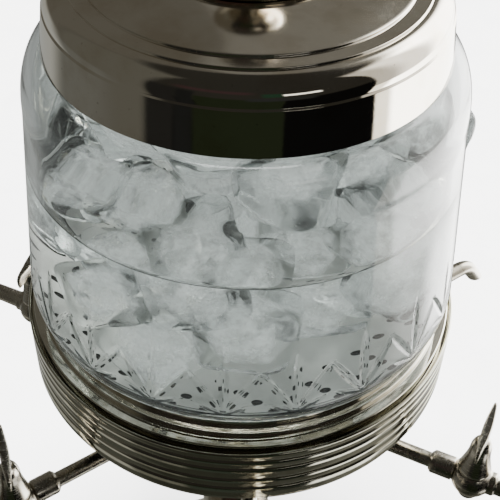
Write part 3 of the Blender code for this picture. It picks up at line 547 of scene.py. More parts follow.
def make_foot():
    bottom, top = span("foot")
    slope = between(FOOT_SLOPE_SHARES, FOOT_TOP_RADIUS, FOOT_RADIUS, bottom, top)
    curve = flowing(slope + [(FOOT_RADIUS, bottom)], 8)
    lip = rounded([(ROD_HOLE, top), (FOOT_TOP_RADIUS, top), curve[0]], FOOT_LIP_ROUND, closed=False)
    turned("foot", thicken(lip[:-1] + curve, FOOT_WALL), FINE_STEPS, NICKEL)
    pad_low, pad_high = span("foot_pad")
    outer = FOOT_RADIUS + PAD_PROUD
    inner = outer - PAD_WIDTH
    pad = rounded([(outer, pad_high), (outer, pad_low), (inner, pad_low), (inner, pad_high)], PAD_ROUND)
    turned("foot_pad", pad, MID_STEPS, RUBBER, "pad_rubber")
    bottom, top = span("stem_ring")
    half = (top - bottom) / 2
    ring = arc((RING_RADIUS - half, bottom + half), (half, half), 90, -90, 16)
    ring += [(RING_BORE, bottom), (RING_BORE, top)]
    turned("stem_ring", ring, MID_STEPS, NICKEL)
    bottom, top = span("stem")
    stem = flowing(shaped(STEM_SHARES, STEM_TOP_RADIUS, top - bottom, bottom), 8)
    turned("stem", thicken(stem, STEM_WALL, True, True), MID_STEPS, NICKEL)
    bottom, top = span("hub")
    hub = rounded([
        (HUB_BORE, top), (HUB_RADIUS - HUB_CHAMFER, top), (HUB_RADIUS, top - HUB_CHAMFER),
        (HUB_RADIUS, bottom + HUB_CHAMFER), (HUB_RADIUS - HUB_CHAMFER, bottom), (HUB_BORE, bottom),
    ], HUB_ROUND)
    turned("hub", hub, MID_STEPS, DARK_NICKEL, "dark_nickel")


# Pan with its stepped cup, collar and strainer
PAN_RADIUS = 93.5
PAN_WALL = 1.9
PAN_CORNER = 2.2
PAN_FLOOR_RADIUS = 24.0
PAN_BOWL_SHARES = ((1.0, 1.0), (0.84, 0.74), (0.57, 0.42), (0.27, 0.15), (0.0, 0.0))
PAN_HOLE = 12.0
PAN_ROUND = 0.5
FLANGE_RADIUS = 95.6
FLANGE_THICKNESS = 1.7
CUP_HEIGHT = 7.4
CUP_BORE = 86.3
CUP_RADIUS = 87.8
CUP_DRAFT = 0.02
SEAT_BORE = 72.0
UPPER_STEP_HEIGHT = 4.4
UPPER_LEDGE_RADIUS = 90.2
LOWER_STEP_HEIGHT = 3.3
LOWER_LEDGE_RADIUS = 94.2
CUP_BEAD = 1.9
CUP_OVERHANG = 0.7
COLLAR_RADIUS = 96.8
COLLAR_BORE = 95.3
COLLAR_MOUTH_DEPTH = 5.0
COLLAR_EDGE = 1.6
COLLAR_GROOVE_DEPTH = 0.8
COLLAR_GROOVE_HALF = 0.7
COLLAR_GROOVE_LIP = 0.1
COLLAR_GROOVE_FLAT = 0.15
COLLAR_GROOVE_FLARE = 0.35
COLLAR_GROOVE_ROUND = 0.5
COLLAR_GROOVE_SHARES = (0.141, 0.316, 0.55, 0.748)
STRAINER_RADIUS = 79.0
STRAINER_ROUND = 0.3
HOLE_SIDES = 24
HOLE_CUT_DEPTH = 5
HOLE_RADIUS = 2.1
HOLE_RING_SPACING = 7.7
HOLE_PITCH = 12.4
HOLE_EDGE = 9.6
HOLE_RINGS = 4
FIRST_HOLE_ANGLE = -95.0
CLEARANCE = 0.3


def make_pan():
    bottom, rim = span("pan")
    seat = rim - CUP_HEIGHT
    underside = seat - PAN_WALL
    upper = rim - UPPER_STEP_HEIGHT
    lower = upper - LOWER_STEP_HEIGHT
    bead = lower - CUP_BEAD
    flange = low("collar") - CLEARANCE
    below = flange - FLANGE_THICKNESS
    bowl = between(PAN_BOWL_SHARES, PAN_FLOOR_RADIUS, PAN_RADIUS - PAN_CORNER, bottom, below - PAN_CORNER)
    shell = [(PAN_RADIUS, underside), (PAN_RADIUS, below)] + flowing(bowl, 8) + [(PAN_HOLE, bottom)]
    inside = thicken(shell, PAN_WALL)[len(shell):]
    steps = [
        (CUP_BORE, rim), (CUP_RADIUS - CUP_DRAFT, rim), (CUP_RADIUS, upper),
        (UPPER_LEDGE_RADIUS - CUP_DRAFT, upper), (UPPER_LEDGE_RADIUS, lower), (LOWER_LEDGE_RADIUS, lower),
        (LOWER_LEDGE_RADIUS, bead), (PAN_RADIUS, bead - CUP_OVERHANG), (PAN_RADIUS, flange),
        (FLANGE_RADIUS, flange), (FLANGE_RADIUS, below),
    ]
    outline = steps + shell[1:] + inside + [(SEAT_BORE, underside), (SEAT_BORE, seat), (CUP_BORE, seat)]
    closed = rounded(outline, PAN_ROUND, least_turn=25.0)
    turned("pan", closed, FINE_STEPS, CUP_NICKEL)


def make_collar():
    bottom, top = span("collar")
    height = top - bottom
    half = (COLLAR_RADIUS - COLLAR_BORE) / 2
    outline = arc(((COLLAR_BORE + COLLAR_RADIUS) / 2, top - half), (half, half), 180, 0, 12)
    for share in COLLAR_GROOVE_SHARES:
        z = top - height * share
        lip = COLLAR_RADIUS - COLLAR_GROOVE_LIP
        deep = COLLAR_RADIUS - COLLAR_GROOVE_DEPTH
        groove = [
            (COLLAR_RADIUS, z + COLLAR_GROOVE_HALF + COLLAR_GROOVE_FLARE), (lip, z + COLLAR_GROOVE_HALF),
            (deep, z + COLLAR_GROOVE_FLAT), (deep, z - COLLAR_GROOVE_FLAT),
            (lip, z - COLLAR_GROOVE_HALF), (COLLAR_RADIUS, z - COLLAR_GROOVE_HALF - COLLAR_GROOVE_FLARE),
        ]
        outline += rounded(groove, COLLAR_GROOVE_ROUND, closed=False, segments=3, least_turn=5.0)
    outline += arc((COLLAR_RADIUS - COLLAR_EDGE, bottom + COLLAR_EDGE), (COLLAR_EDGE, COLLAR_EDGE), 0, -90,
                   10)
    mouth = top - COLLAR_MOUTH_DEPTH
    outline += [(PAN_RADIUS + CLEARANCE, bottom), (PAN_RADIUS + CLEARANCE, mouth), (COLLAR_BORE, mouth)]
    turned("collar", outline, FINE_STEPS, COLLAR_NICKEL)


def make_strainer():
    bottom, top = span("strainer")
    plate = lathe("strainer_plate", rounded([
        (0.0, top), (STRAINER_RADIUS, top), (STRAINER_RADIUS, bottom), (0.0, bottom),
    ], STRAINER_ROUND, closed=False), FINE_STEPS, closed=False)
    item = add("strainer_plate", plate)
    holes = bmesh.new()
    for ring in range(HOLE_RINGS):
        radius = STRAINER_RADIUS - HOLE_EDGE - ring * HOLE_RING_SPACING
        count = round(math.tau * radius / HOLE_PITCH)
        for i in range(count):
            angle = math.radians(FIRST_HOLE_ANGLE) + math.tau * (i + 0.5 * (ring % 2)) / count
            centre = Vector((radius * math.cos(angle), radius * math.sin(angle), (bottom + top) / 2)) * MM
            bmesh.ops.create_cone(holes, cap_ends=True, segments=HOLE_SIDES, radius1=HOLE_RADIUS * MM,
                                  radius2=HOLE_RADIUS * MM, depth=HOLE_CUT_DEPTH * MM,
                                  matrix=Matrix.Translation(centre))
    mesh = bpy.data.meshes.new("strainer_holes")
    holes.to_mesh(mesh)
    holes.free()
    result = cut_out(item, "strainer_holes", mesh)
    remove(item)
    place("visual_strainer", smooth(result), "base", STRAINER, ["strainer"], "strainer_nickel")


# Glass jar, with a row of cut fans above its foot
NECK_RADIUS = 71.0
NECK_FILLET = 1.6
SHOULDER_WIDTH = 12.8
SHOULDER_RISE = 23.5
SHOULDER_POWER = 2.26
NECK_RISE = 16.6
JAR_RADIUS = 93.1
JAR_WALL = 3.5
JAR_ROUND_WIDTH = 7.1
JAR_ROUND_HEIGHT = 9.0
JAR_FOOT_HEIGHT = 6.6
JAR_FOOT_FILLET = 0.5
JAR_FOOT_ROUND = 0.6
JAR_INNER_FILLET = 1.0
JAR_CORNER_CLEAR = 1.2
JAR_CORNER_RISE = 9.0
JAR_FOOT_POINTS = 28
JAR_SHOULDER_POINTS = 30
JAR_WALL_SKIP = 6
HAIR = 0.01
FAN_COUNT = 21
FAN_BASE_ANGLE = -98.8
FAN_BASE_HEIGHT = 332.4
FAN_PETALS = (
    (0.0, 31.0, 3.6), (33.0, 27.0, 3.6), (-33.0, 27.0, 3.6), (67.0, 13.0, 2.2), (-67.0, 13.0, 2.2),
)
FAN_DEPTH_SHARE = 0.3
PETAL_GAIN = 3.1
PETAL_PEAK = 1.27
PETAL_ROOT_POWER = 0.75
PETAL_TIP_POWER = 0.62
CUT_COLUMNS = 960
CUT_ROWS = 110
CUT_LOW = 331.6
CUT_HIGH = 362.0


def jar_outer():
    bottom, top = span("glass_jar")
    shoulder_top = top - NECK_RISE
    shoulder_bottom = shoulder_top - SHOULDER_RISE
    shoulder_centre = NECK_RADIUS + NECK_FILLET
    shoulder_radius = shoulder_centre + SHOULDER_WIDTH
    foot = JAR_RADIUS - JAR_ROUND_WIDTH
    outline = arc((shoulder_centre, shoulder_top + NECK_FILLET), (NECK_FILLET, NECK_FILLET), 180, 270, 8)
    outline += arc((shoulder_centre, shoulder_bottom), (SHOULDER_WIDTH, SHOULDER_RISE), 90, 0, 32,
                   SHOULDER_POWER)[1:]
    base = bottom + JAR_FOOT_HEIGHT + JAR_ROUND_HEIGHT
    wall = shoulder_bottom - base
    slope = (JAR_RADIUS - shoulder_radius) / wall
    for i in range(1, 12):
        height = shoulder_bottom + (CUT_HIGH - shoulder_bottom) * i / 12
        outline.append((shoulder_radius + slope * (shoulder_bottom - height), height))
    for i in range(CUT_ROWS + 1):
        height = CUT_HIGH + (CUT_LOW - CUT_HIGH) * i / CUT_ROWS
        outline.append((shoulder_radius + slope * (shoulder_bottom - height), height))
    fillet, edge = JAR_FOOT_FILLET, JAR_FOOT_ROUND
    curl = arc((foot, base), (JAR_ROUND_WIDTH, JAR_ROUND_HEIGHT), 0, -90, 20)
    outline += [p for p in curl if p[0] > foot + edge]
    outline += arc((foot + fillet, bottom + JAR_FOOT_HEIGHT - fillet), (fillet, fillet), 90, 180, 4)
    outline += arc((foot - edge, bottom + edge), (edge, edge), 0, -90, 5)
    return outline


def make_jar():
    bottom, top = span("glass_jar")
    outer = jar_outer()
    closed = thicken(outer, JAR_WALL)
    half = len(outer)
    foot_bore = JAR_RADIUS - JAR_ROUND_WIDTH - JAR_WALL
    floor = bottom + JAR_FOOT_HEIGHT + JAR_WALL
    inner = [p for p in closed[half:] if p[1] > floor + HAIR
             and (p[0] > foot_bore + JAR_CORNER_CLEAR or p[1] > floor + JAR_CORNER_RISE)]
    edge, fillet = JAR_FOOT_ROUND, JAR_INNER_FILLET
    foot_curve = arc((foot_bore + edge, bottom + edge), (edge, edge), -90, -180, 5)
    foot_curve += arc((foot_bore + fillet, floor - fillet), (fillet, fillet), 180, 90, 5)
    inner = foot_curve + inner
    inner_thin = (inner[:JAR_FOOT_POINTS] + inner[JAR_FOOT_POINTS:-JAR_SHOULDER_POINTS:JAR_WALL_SKIP]
                  + inner[-JAR_SHOULDER_POINTS:])
    rim = JAR_WALL / 2
    lip = arc((NECK_RADIUS - rim, top - rim), (rim, rim), 180, 0, 16)
    outline = outer + inner_thin + lip
    points = np.array(outline, float)
    steps = CUT_COLUMNS
    angles = np.arange(steps) * math.tau / steps
    radius = np.repeat(points[:, 0:1], steps, axis=1)
    height = points[:, 1]
    rows = np.arange(len(outer))
    band = [i for i in rows if CUT_LOW - HAIR <= height[i] <= CUT_HIGH + HAIR]
    spacing = math.tau / FAN_COUNT
    relative = (angles - math.radians(FAN_BASE_ANGLE) + spacing / 2) % spacing - spacing / 2
    for i in band:
        along_wall = height[i] - FAN_BASE_HEIGHT
        depth = np.zeros(steps)
        for shift in (-1, 0, 1):
            across = (relative + shift * spacing) * points[i, 0]
            for tilt, length, width in FAN_PETALS:
                turn = math.radians(tilt)
                t = (across * math.sin(turn) + along_wall * math.cos(turn)) / length
                s = across * math.cos(turn) - along_wall * math.sin(turn)
                share = np.clip(t, 0.0, 1.0)
                swell = PETAL_GAIN * share ** PETAL_ROOT_POWER * (1 - share) ** PETAL_TIP_POWER / PETAL_PEAK
                half_width = width / 2 * np.clip(swell, 0.0, 1.0)
                hollow = np.clip(1.0 - (s / np.maximum(half_width, HAIR)) ** 2, 0.0, 1.0)
                depth = np.maximum(depth, hollow * half_width * FAN_DEPTH_SHARE)
        radius[i] -= depth
    verts = np.empty((len(points), steps, 3))
    verts[:, :, 0] = radius * np.cos(angles) * MM
    verts[:, :, 1] = radius * np.sin(angles) * MM
    verts[:, :, 2] = height[:, None] * MM
    mesh = ring_mesh("visual_glass_jar", verts, len(points))
    mesh.shade_smooth()
    place("visual_glass_jar", mesh, "base", GLASS, ["glass_jar"], "jar_glass")
    return inner


# Water and ice
WATER_LEVEL = 390.5
WATER_OVERLAP = 0.5
MENISCUS_HEIGHT = 1.6
MENISCUS_WIDTH = 4.0
MENISCUS_STEPS = 12
MENISCUS_POWER = 2.6


def make_water(inner):
    wall = sorted([(r, z) for r, z in inner if z < WATER_LEVEL + MENISCUS_HEIGHT], key=lambda p: -p[1])
    wall = [wall[0]] + wall[4:-JAR_FOOT_POINTS:10] + wall[-JAR_FOOT_POINTS:-6]
    outline = [(0.0, WATER_LEVEL)]
    edge = wall[0][0]
    for i in range(MENISCUS_STEPS + 1):
        share = i / MENISCUS_STEPS
        rise = MENISCUS_HEIGHT * share ** MENISCUS_POWER
        outline.append((edge - MENISCUS_WIDTH * (1 - share), WATER_LEVEL + rise))
    outline.append((edge + WATER_OVERLAP, WATER_LEVEL + MENISCUS_HEIGHT))
    outline += [(r + WATER_OVERLAP, z) for r, z in wall if z < WATER_LEVEL]
    seat = high("pan") - CUP_HEIGHT - PAN_WALL / 2
    below = low("collar") - CLEARANCE - FLANGE_THICKNESS
    bore = JAR_RADIUS - JAR_ROUND_WIDTH - JAR_WALL + WATER_OVERLAP
    middle = PAN_WALL / 2
    bowl = between(PAN_BOWL_SHARES, PAN_FLOOR_RADIUS, PAN_RADIUS - PAN_CORNER, low("pan"), below - PAN_CORNER)
    outline += [(bore, low("glass_jar") + WATER_OVERLAP), (bore, seat), (PAN_RADIUS - middle, seat),
                (PAN_RADIUS - middle, below)]
    outline += [(r - middle, z + middle) for r, z in bowl] + [(0.0, low("pan") + middle)]
    place("water", lathe("water", outline, FINE_STEPS, closed=False), "base", WATER)


ICE_SEED = 11
ICE_COUNT = 37
ICE_HALF = 17.0
ICE_SPACING = 29.5
ICE_REACH = 70.0
ICE_LOW = 336.5
ICE_TOP = 413.0
ICE_ROUNDS = 200
ICE_PUSH_SHARE = 0.25
ICE_FRONT_RISE = 26.0
ICE_FRONT_START = 30.0
ICE_FRONT_WIDTH = 50.0
ICE_TILT = 0.6
CLOUD_SIZE_SHARES = (0.7, 0.88)


def ice_spots(rng):
    """Places for the cubes, pushed apart until they overlap less; the floor's front right stays free."""
    spots = []
    for _ in range(ICE_COUNT):
        angle = rng.uniform(0, math.tau)
        radius = ICE_REACH * math.sqrt(rng.random())
        height = rng.uniform(ICE_LOW, ICE_TOP)
        spots.append(Vector((radius * math.cos(angle), radius * math.sin(angle), height)))
    for _ in range(ICE_ROUNDS):
        for i, a in enumerate(spots):
            for b in spots[i + 1:]:
                gap = b - a
                if 1e-6 < gap.length < ICE_SPACING:
                    push = gap.normalized() * (ICE_SPACING - gap.length) * ICE_PUSH_SHARE
                    b += push
                    a -= push
            flat = Vector((a.x, a.y))
            if flat.length > ICE_REACH:
                flat *= ICE_REACH / flat.length
                a.x, a.y = flat
            front_right = min(max((a.x - a.y - ICE_FRONT_START) / ICE_FRONT_WIDTH, 0.0), 1.0)
            a.z = min(max(a.z, ICE_LOW + ICE_FRONT_RISE * front_right), ICE_TOP)
    return spots


def melted_cube(name, rng, half, cuts, power, dent):
    work = bmesh.new()
    bmesh.ops.create_cube(work, size=2.0)
    bmesh.ops.subdivide_edges(work, edges=work.edges, cuts=cuts, use_grid_fill=True)
    stretch = Vector((rng.uniform(0.92, 1.14), rng.uniform(0.9, 1.12), rng.uniform(0.82, 1.02)))
    shift = Vector([rng.uniform(-50, 50) for _ in range(3)])
    for vert in work.verts:
        p = vert.co.copy()
        norm = (abs(p.x) ** power + abs(p.y) ** power + abs(p.z) ** power) ** (1 / power)
        p = p / norm
        swell = 1.0 + dent * noise.noise(p * 1.1 + shift) + 0.35 * dent * noise.noise(p * 2.6 + shift)
        vert.co = Vector((p.x * stretch.x, p.y * stretch.y, p.z * stretch.z)) * (half * swell * MM)
    mesh = bpy.data.meshes.new(name)
    work.to_mesh(mesh)
    work.free()
    mesh.shade_smooth()
    return mesh


def make_ice():
    rng = random.Random(ICE_SEED)
    for i, spot in enumerate(ice_spots(rng)):
        power = rng.uniform(3.6, 6.0)
        cube = melted_cube(f"ice_{i + 1}", rng, ICE_HALF, 11, power, 0.1)
        cloud_half = ICE_HALF * rng.uniform(*CLOUD_SIZE_SHARES)
        cloud = melted_cube(f"ice_cloud_{i + 1}", rng, cloud_half, 9, 2.8, 0.2)
        turn = Matrix.Rotation(rng.uniform(0, math.tau), 4, "Z")
        for axis in ("X", "Y"):
            turn = turn @ Matrix.Rotation(rng.uniform(-ICE_TILT, ICE_TILT), 4, axis)
        turn = Matrix.Translation(spot * MM) @ turn
        place(f"ice_{i + 1}", cube, "base", ICE, matrix=turn)
        place(f"ice_cloud_{i + 1}", cloud, "base", FROST, matrix=turn)


# Lid and finial
LID_RADIUS = 76.0
LID_WALL = 1.2
LID_BAND_HEIGHT = 16.0
LID_BAND_DRAFT = 2.2
LID_CREASE = 0.6
LID_SHOULDER_WIDTH = 8.0
LID_SHOULDER_RISE = 8.6
LID_GROOVE = 0.8
LID_RING_WIDTH = 5.8
LID_STEP = 0.9
LID_STEPS = 384
LID_ROUND = 0.3
STUD_DEPTH = 13.3
STUD_HOLE = 3.3
FINIAL_BASE_RADIUS = 34.0
FINIAL_BASE_SHARES = (
    (0.25, 1.0), (0.25, 0.93), (0.28, 0.7), (0.38, 0.46), (0.6, 0.27), (0.88, 0.18), (0.98, 0.13),
    (1.0, 0.06), (0.98, 0.0),
)
FINIAL_RADIUS = 15.0
FINIAL_SHARES = (
    (0.0, 1.0), (0.13, 0.99), (0.21, 0.95), (0.19, 0.9), (0.36, 0.86), (0.68, 0.77), (0.93, 0.65),
    (1.0, 0.51), (0.92, 0.36), (0.66, 0.23), (0.42, 0.155), (0.42, 0.105), (0.6, 0.07), (0.65, 0.03),
    (0.58, 0.0),
)


def make_lid():
    bottom, crown = span("lid")
    band_top = bottom + LID_BAND_HEIGHT
    band_radius = LID_RADIUS - LID_BAND_DRAFT
    shoulder_base = band_top + LID_CREASE
    shoulder_centre = band_radius - LID_CREASE - LID_SHOULDER_WIDTH
    ring_height = shoulder_base + LID_SHOULDER_RISE + LID_GROOVE
    dome_edge = shoulder_centre - LID_RING_WIDTH
    step_top = ring_height + LID_STEP
    dome = flowing([(STUD_HOLE, crown), (FINIAL_BASE_RADIUS * 0.5, crown), (FINIAL_BASE_RADIUS, crown - 0.1),
                    ((FINIAL_BASE_RADIUS + dome_edge) / 2, step_top + 0.64 * (crown - step_top)),
                    (dome_edge, step_top)], 10)
    top = dome[:-1] + [dome[-1], (dome_edge + 0.15, ring_height), (shoulder_centre - 0.1, ring_height),
                       (shoulder_centre, ring_height - LID_GROOVE)]
    shoulder = arc((shoulder_centre, shoulder_base), (LID_SHOULDER_WIDTH, LID_SHOULDER_RISE), 90, 0, 40)
    band = [(band_radius, band_top), (LID_RADIUS, bottom)]
    outline = rounded(top + shoulder[1:] + band, LID_ROUND, closed=False, segments=3, least_turn=14.0)
    wall = thicken(outline, LID_WALL, level_end=True)
    turned("lid", wall, LID_STEPS, LID_NICKEL, "lid_nickel", "lid_set")
    bottom, top = span("finial_base")
    base = flowing(shaped(FINIAL_BASE_SHARES, FINIAL_BASE_RADIUS, top - bottom, bottom), 8)
    base += [(STUD_HOLE, bottom), (STUD_HOLE, top)]
    turned("finial_base", base, FINE_STEPS, LID_NICKEL, "lid_nickel", "lid_set")
    bottom, top = span("finial")
    knob = flowing(shaped(FINIAL_SHARES, FINIAL_RADIUS, top - bottom, bottom), 8)
    knob[0] = (0.0, top)
    knob += [(STUD_HOLE, bottom), (STUD_HOLE, bottom + STUD_DEPTH), (0.0, bottom + STUD_DEPTH)]
    turned("finial", knob, MID_STEPS, LID_NICKEL, "lid_nickel", "lid_set", closed=False)


# Taps
TAP_RADIUS = 124.0
TAP_REACH = 83.0
BALL_RADIUS = 9.9
BALL_TOP = 6.6
BALL_BOTTOM = 7.6
INLET_RADIUS = 4.7
INLET_LENGTH = 16.7
ROOT_RADIUS = 5.6
ROOT_START = 8.0
ROOT_END = 11.5
INNER_START = 4.0
SPOUT_RADIUS = 4.75
SPOUT_TIP_SHARE = 0.8
SPOUT_STRAIGHT = 32.0
SPOUT_BEND_RADIUS = 13.0
SPOUT_BEND = 54.0
SPOUT_DROP = 13.8
WATERWAY_RADIUS = 2.3
PIPE_RADIUS = 3.7
PIPE_BORE_RADIUS = 2.5
PIPE_IN_HUB = 8.7
PIPE_IN_TAP = 6.1
PIPE_PLAY = 0.1
UNION_RADIUS = 5.7
UNION_LENGTH = 11.8
UNION_CHAMFER = 1.4
UNION_COLLAR = 3.7
PLUG_TOP_RADIUS = 5.2
PLUG_END_RADIUS = 4.0
PLUG_END = -7.3
BELL_RADIUS = 7.6
BELL_HEIGHT = 22.9
BELL_SHARES = (
    (0.0, 1.0), (0.4, 0.96), (0.62, 0.8), (0.69, 0.55), (0.82, 0.31), (1.0, 0.07), (1.0, 0.0),
)
KEY_NUT_RADIUS = 4.8
KEY_NUT_HEIGHT = 4.4
KEY_NUT_FLANGE_RADIUS = 6.0
KEY_NUT_FLANGE = 1.2
KEY_STUD_RADIUS = 2.4
KEY_STUD_END = 0.8
LEAF_REACH = 15.0
LEAF_HEIGHT = 40.0
LEAF_THICKNESS = 4.2
LEAF_HALF_WIDTH = 5.0
LEAF_HEEL = (-12.0, 27.5)
LEAF_TIP = (15.0, 39.5)
LEAF_SHARES = (
    (-0.767, 0.613), (-0.813, 0.713), (-0.733, 0.805), (-0.267, 0.862), (0.533, 0.965), (0.933, 1.0),
    (1.013, 0.965), (0.867, 0.912), (0.467, 0.845), (0.2, 0.75), (0.16, 0.66), (-0.16, 0.66), (-0.29, 0.683),
    (-0.467, 0.637),
)
OUTWARD = Matrix.Rotation(math.pi / 2, 4, "Y")


def spout_points(start, past):
    """The spout's line: straight outwards, a bend, and straight down to past its mouth."""
    points = [Vector((start + (SPOUT_STRAIGHT - start) * i / 6, 0.0, 0.0)) for i in range(6)]
    for i in range(13):
        angle = math.radians(SPOUT_BEND) * i / 12
        points.append(Vector((SPOUT_STRAIGHT + SPOUT_BEND_RADIUS * math.sin(angle), 0.0,
                              SPOUT_BEND_RADIUS * (math.cos(angle) - 1))))
    turn = math.radians(SPOUT_BEND)
    fall = Vector((math.cos(turn), 0.0, -math.sin(turn)))
    tail = (SPOUT_DROP + points[-1].z) / math.sin(turn) + past
    return points + [points[-1] + fall * tail * i / 6 for i in range(1, 7)]


def tapered(points, start, end):
    ways = [0.0]
    for a, b in zip(points, points[1:]):
        ways.append(ways[-1] + (b - a).length)
    return [start + (end - start) * way / ways[-1] for way in ways]


def make_tap_mesh():
    top_angle = math.degrees(math.asin(BALL_TOP / BALL_RADIUS))
    low_angle = -math.degrees(math.asin(BALL_BOTTOM / BALL_RADIUS))
    ball = arc((0.0, 0.0), (BALL_RADIUS, BALL_RADIUS), top_angle, low_angle, 24)
    ball = rounded([(0.0, BALL_TOP)] + ball + [(0.0, -BALL_BOTTOM)], 0.5, closed=False)
    body = lathe("tap_ball", ball, TAP_STEPS, closed=False)
    inlet = lathe("tap_inlet", [
        (0.0, -INNER_START), (INLET_RADIUS, -INNER_START), (INLET_RADIUS, -INLET_LENGTH),
        (0.0, -INLET_LENGTH),
    ], TAP_STEPS, closed=False)
    inlet.transform(OUTWARD)
    collar = rounded([
        (0.0, ROOT_END), (ROOT_RADIUS, ROOT_END), (ROOT_RADIUS, ROOT_START), (0.0, ROOT_START),
    ], 0.6, closed=False)
    root = lathe("tap_root", collar, TAP_STEPS, closed=False)
    root.transform(OUTWARD)
    line = spout_points(INNER_START, 0.0)
    line[-1] = line[-1] + (line[-1] - line[-2]).normalized() * 3.0
    spout = tube("tap_spout", line, tapered(line, SPOUT_RADIUS, SPOUT_RADIUS * SPOUT_TIP_SHARE), 48)
    past = spout_points(20.0, 8.0)
    water = tube("tap_waterway", past, [WATERWAY_RADIUS] * len(past), 24)
    trim = bpy.data.meshes.new("tap_trim")
    work = bmesh.new()
    bmesh.ops.create_cube(work, size=60 * MM,
                          matrix=Matrix.Translation(Vector((50.0, 0.0, -SPOUT_DROP - 30.0)) * MM))
    work.to_mesh(trim)
    work.free()
    return fused("tap_body", [body, inlet, root, spout], 0.4, 4, [water, trim])


def make_key_mesh():
    bell_base = BALL_TOP + CLEARANCE
    bell = flowing(shaped(BELL_SHARES, BELL_RADIUS, BELL_HEIGHT, bell_base)[:-1], 8)
    bell[0] = (0.0, bell_base + BELL_HEIGHT)
    bell += rounded([bell[-1], (BELL_RADIUS, bell_base), (PLUG_TOP_RADIUS, bell_base),
                     (PLUG_END_RADIUS, PLUG_END), (0.0, PLUG_END)], 0.4, closed=False)[1:]
    cap = lathe("key_bell", bell, TAP_STEPS, closed=False)
    outline = flowing([(x * LEAF_REACH, y * LEAF_HEIGHT) for x, y in LEAF_SHARES] + [
        (LEAF_SHARES[0][0] * LEAF_REACH, LEAF_SHARES[0][1] * LEAF_HEIGHT)], 6)[:-1]
    curve = bpy.data.curves.new("leaf", "CURVE")
    curve.dimensions = "2D"
    curve.fill_mode = "BOTH"
    curve.extrude = LEAF_THICKNESS / 2 * MM
    spline = curve.splines.new("POLY")
    spline.points.add(len(outline) - 1)
    spline.use_cyclic_u = True
    for point, (x, y) in zip(spline.points, outline):
        point.co = (x * MM, y * MM, 0.0, 1.0)
    source = add("leaf", curve)
    leaf = weld(evaluated(source))
    remove(source)
    leaf = fused("leaf", [leaf], 0.4, 2)
    start, end = Vector(LEAF_HEEL), Vector(LEAF_TIP)
    along = (end - start).normalized()
    for vert in leaf.vertices:
        offset = Vector((vert.co.x / MM, vert.co.y / MM)) - start
        share = min(max(offset.dot(along) / (end - start).length, 0.0), 1.0)
        aside = min(abs(offset.x * along.y - offset.y * along.x) / LEAF_HALF_WIDTH, 1.0)
        vert.co.z *= (0.3 + 0.7 * math.sin(math.pi * share)) * (0.35 + 0.65 * math.sqrt(1.0 - aside * aside))
    leaf.transform(Matrix.Rotation(math.pi / 2, 4, "Z") @ Matrix.Rotation(math.pi / 2, 4, "X"))
    return fused("tap_key", [cap, leaf], 0.35, 4)


def make_taps():
    body = make_tap_mesh()
    key = make_key_mesh()
    top = -BALL_BOTTOM - CLEARANCE
    nut = lathe("key_nut", rounded([
        (KEY_NUT_FLANGE_RADIUS, top), (KEY_NUT_FLANGE_RADIUS, top - KEY_NUT_FLANGE),
        (KEY_NUT_RADIUS, top - KEY_NUT_FLANGE), (KEY_NUT_RADIUS, top - KEY_NUT_HEIGHT),
        (KEY_STUD_RADIUS, top - KEY_NUT_HEIGHT), (KEY_STUD_RADIUS, top - KEY_NUT_HEIGHT - KEY_STUD_END),
        (0.1, top - KEY_NUT_HEIGHT - KEY_STUD_END), (0.1, top),
    ], 0.3), TAP_STEPS)
    start = -TAP_REACH - PIPE_IN_HUB
    end = -INLET_LENGTH + PIPE_IN_TAP
    pipe = lathe("arm_pipe", [(PIPE_RADIUS, end), (PIPE_RADIUS, start), (PIPE_BORE_RADIUS, start),
                              (PIPE_BORE_RADIUS, end)], TAP_STEPS)
    pipe.transform(OUTWARD)
    step = -INLET_LENGTH - CLEARANCE
    bottom = step - UNION_COLLAR
    union = lathe("union_nut", rounded([
        (UNION_RADIUS, bottom + UNION_LENGTH), (UNION_RADIUS, bottom + UNION_CHAMFER),
        (UNION_RADIUS - UNION_CHAMFER, bottom), (PIPE_RADIUS + PIPE_PLAY, bottom),
        (PIPE_RADIUS + PIPE_PLAY, bottom + UNION_LENGTH),
    ], 0.5), TAP_STEPS)
    union.transform(OUTWARD)
    for i in range(TAP_COUNT):
        turn = Matrix.Rotation(math.radians(FIRST_TAP_ANGLE + 360.0 / TAP_COUNT * i), 4, "Z")
        fixed = turn @ Matrix.Translation(Vector((TAP_RADIUS, 0.0, 0.0)) * MM)
        n = i + 1
        fixed.translation.z = pipe_height(n)
        handle = fixed @ Matrix.Rotation(math.radians(HANDLE_TURNS[i]), 4, "Z")
        for kind, mesh, rider, matrix in (
            ("tap_body", body, "base", fixed), ("arm_pipe", pipe, "base", fixed),
            ("union_nut", union, "base", fixed), ("tap_key", key, f"key_{n}", handle),
            ("key_nut", nut, f"key_{n}", handle),
        ):
            node = f"{kind}_{n}"
            place(f"visual_{node}", mesh, rider, DARK_NICKEL, [node], "dark_nickel", matrix)


def pipe_height(n):
    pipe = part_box(f"arm_pipe_{n}")
    return (pipe[0].z + pipe[1].z) / 2


# Camera
CAMERA_PLACE = (-28.8, -310.2, 621.2)
CAMERA_AZIMUTH = 84.055
CAMERA_PITCH = 43.03
CAMERA_ROLL = 1.955
CAMERA_LENS = 68.4
CAMERA_SENSOR = 36.0


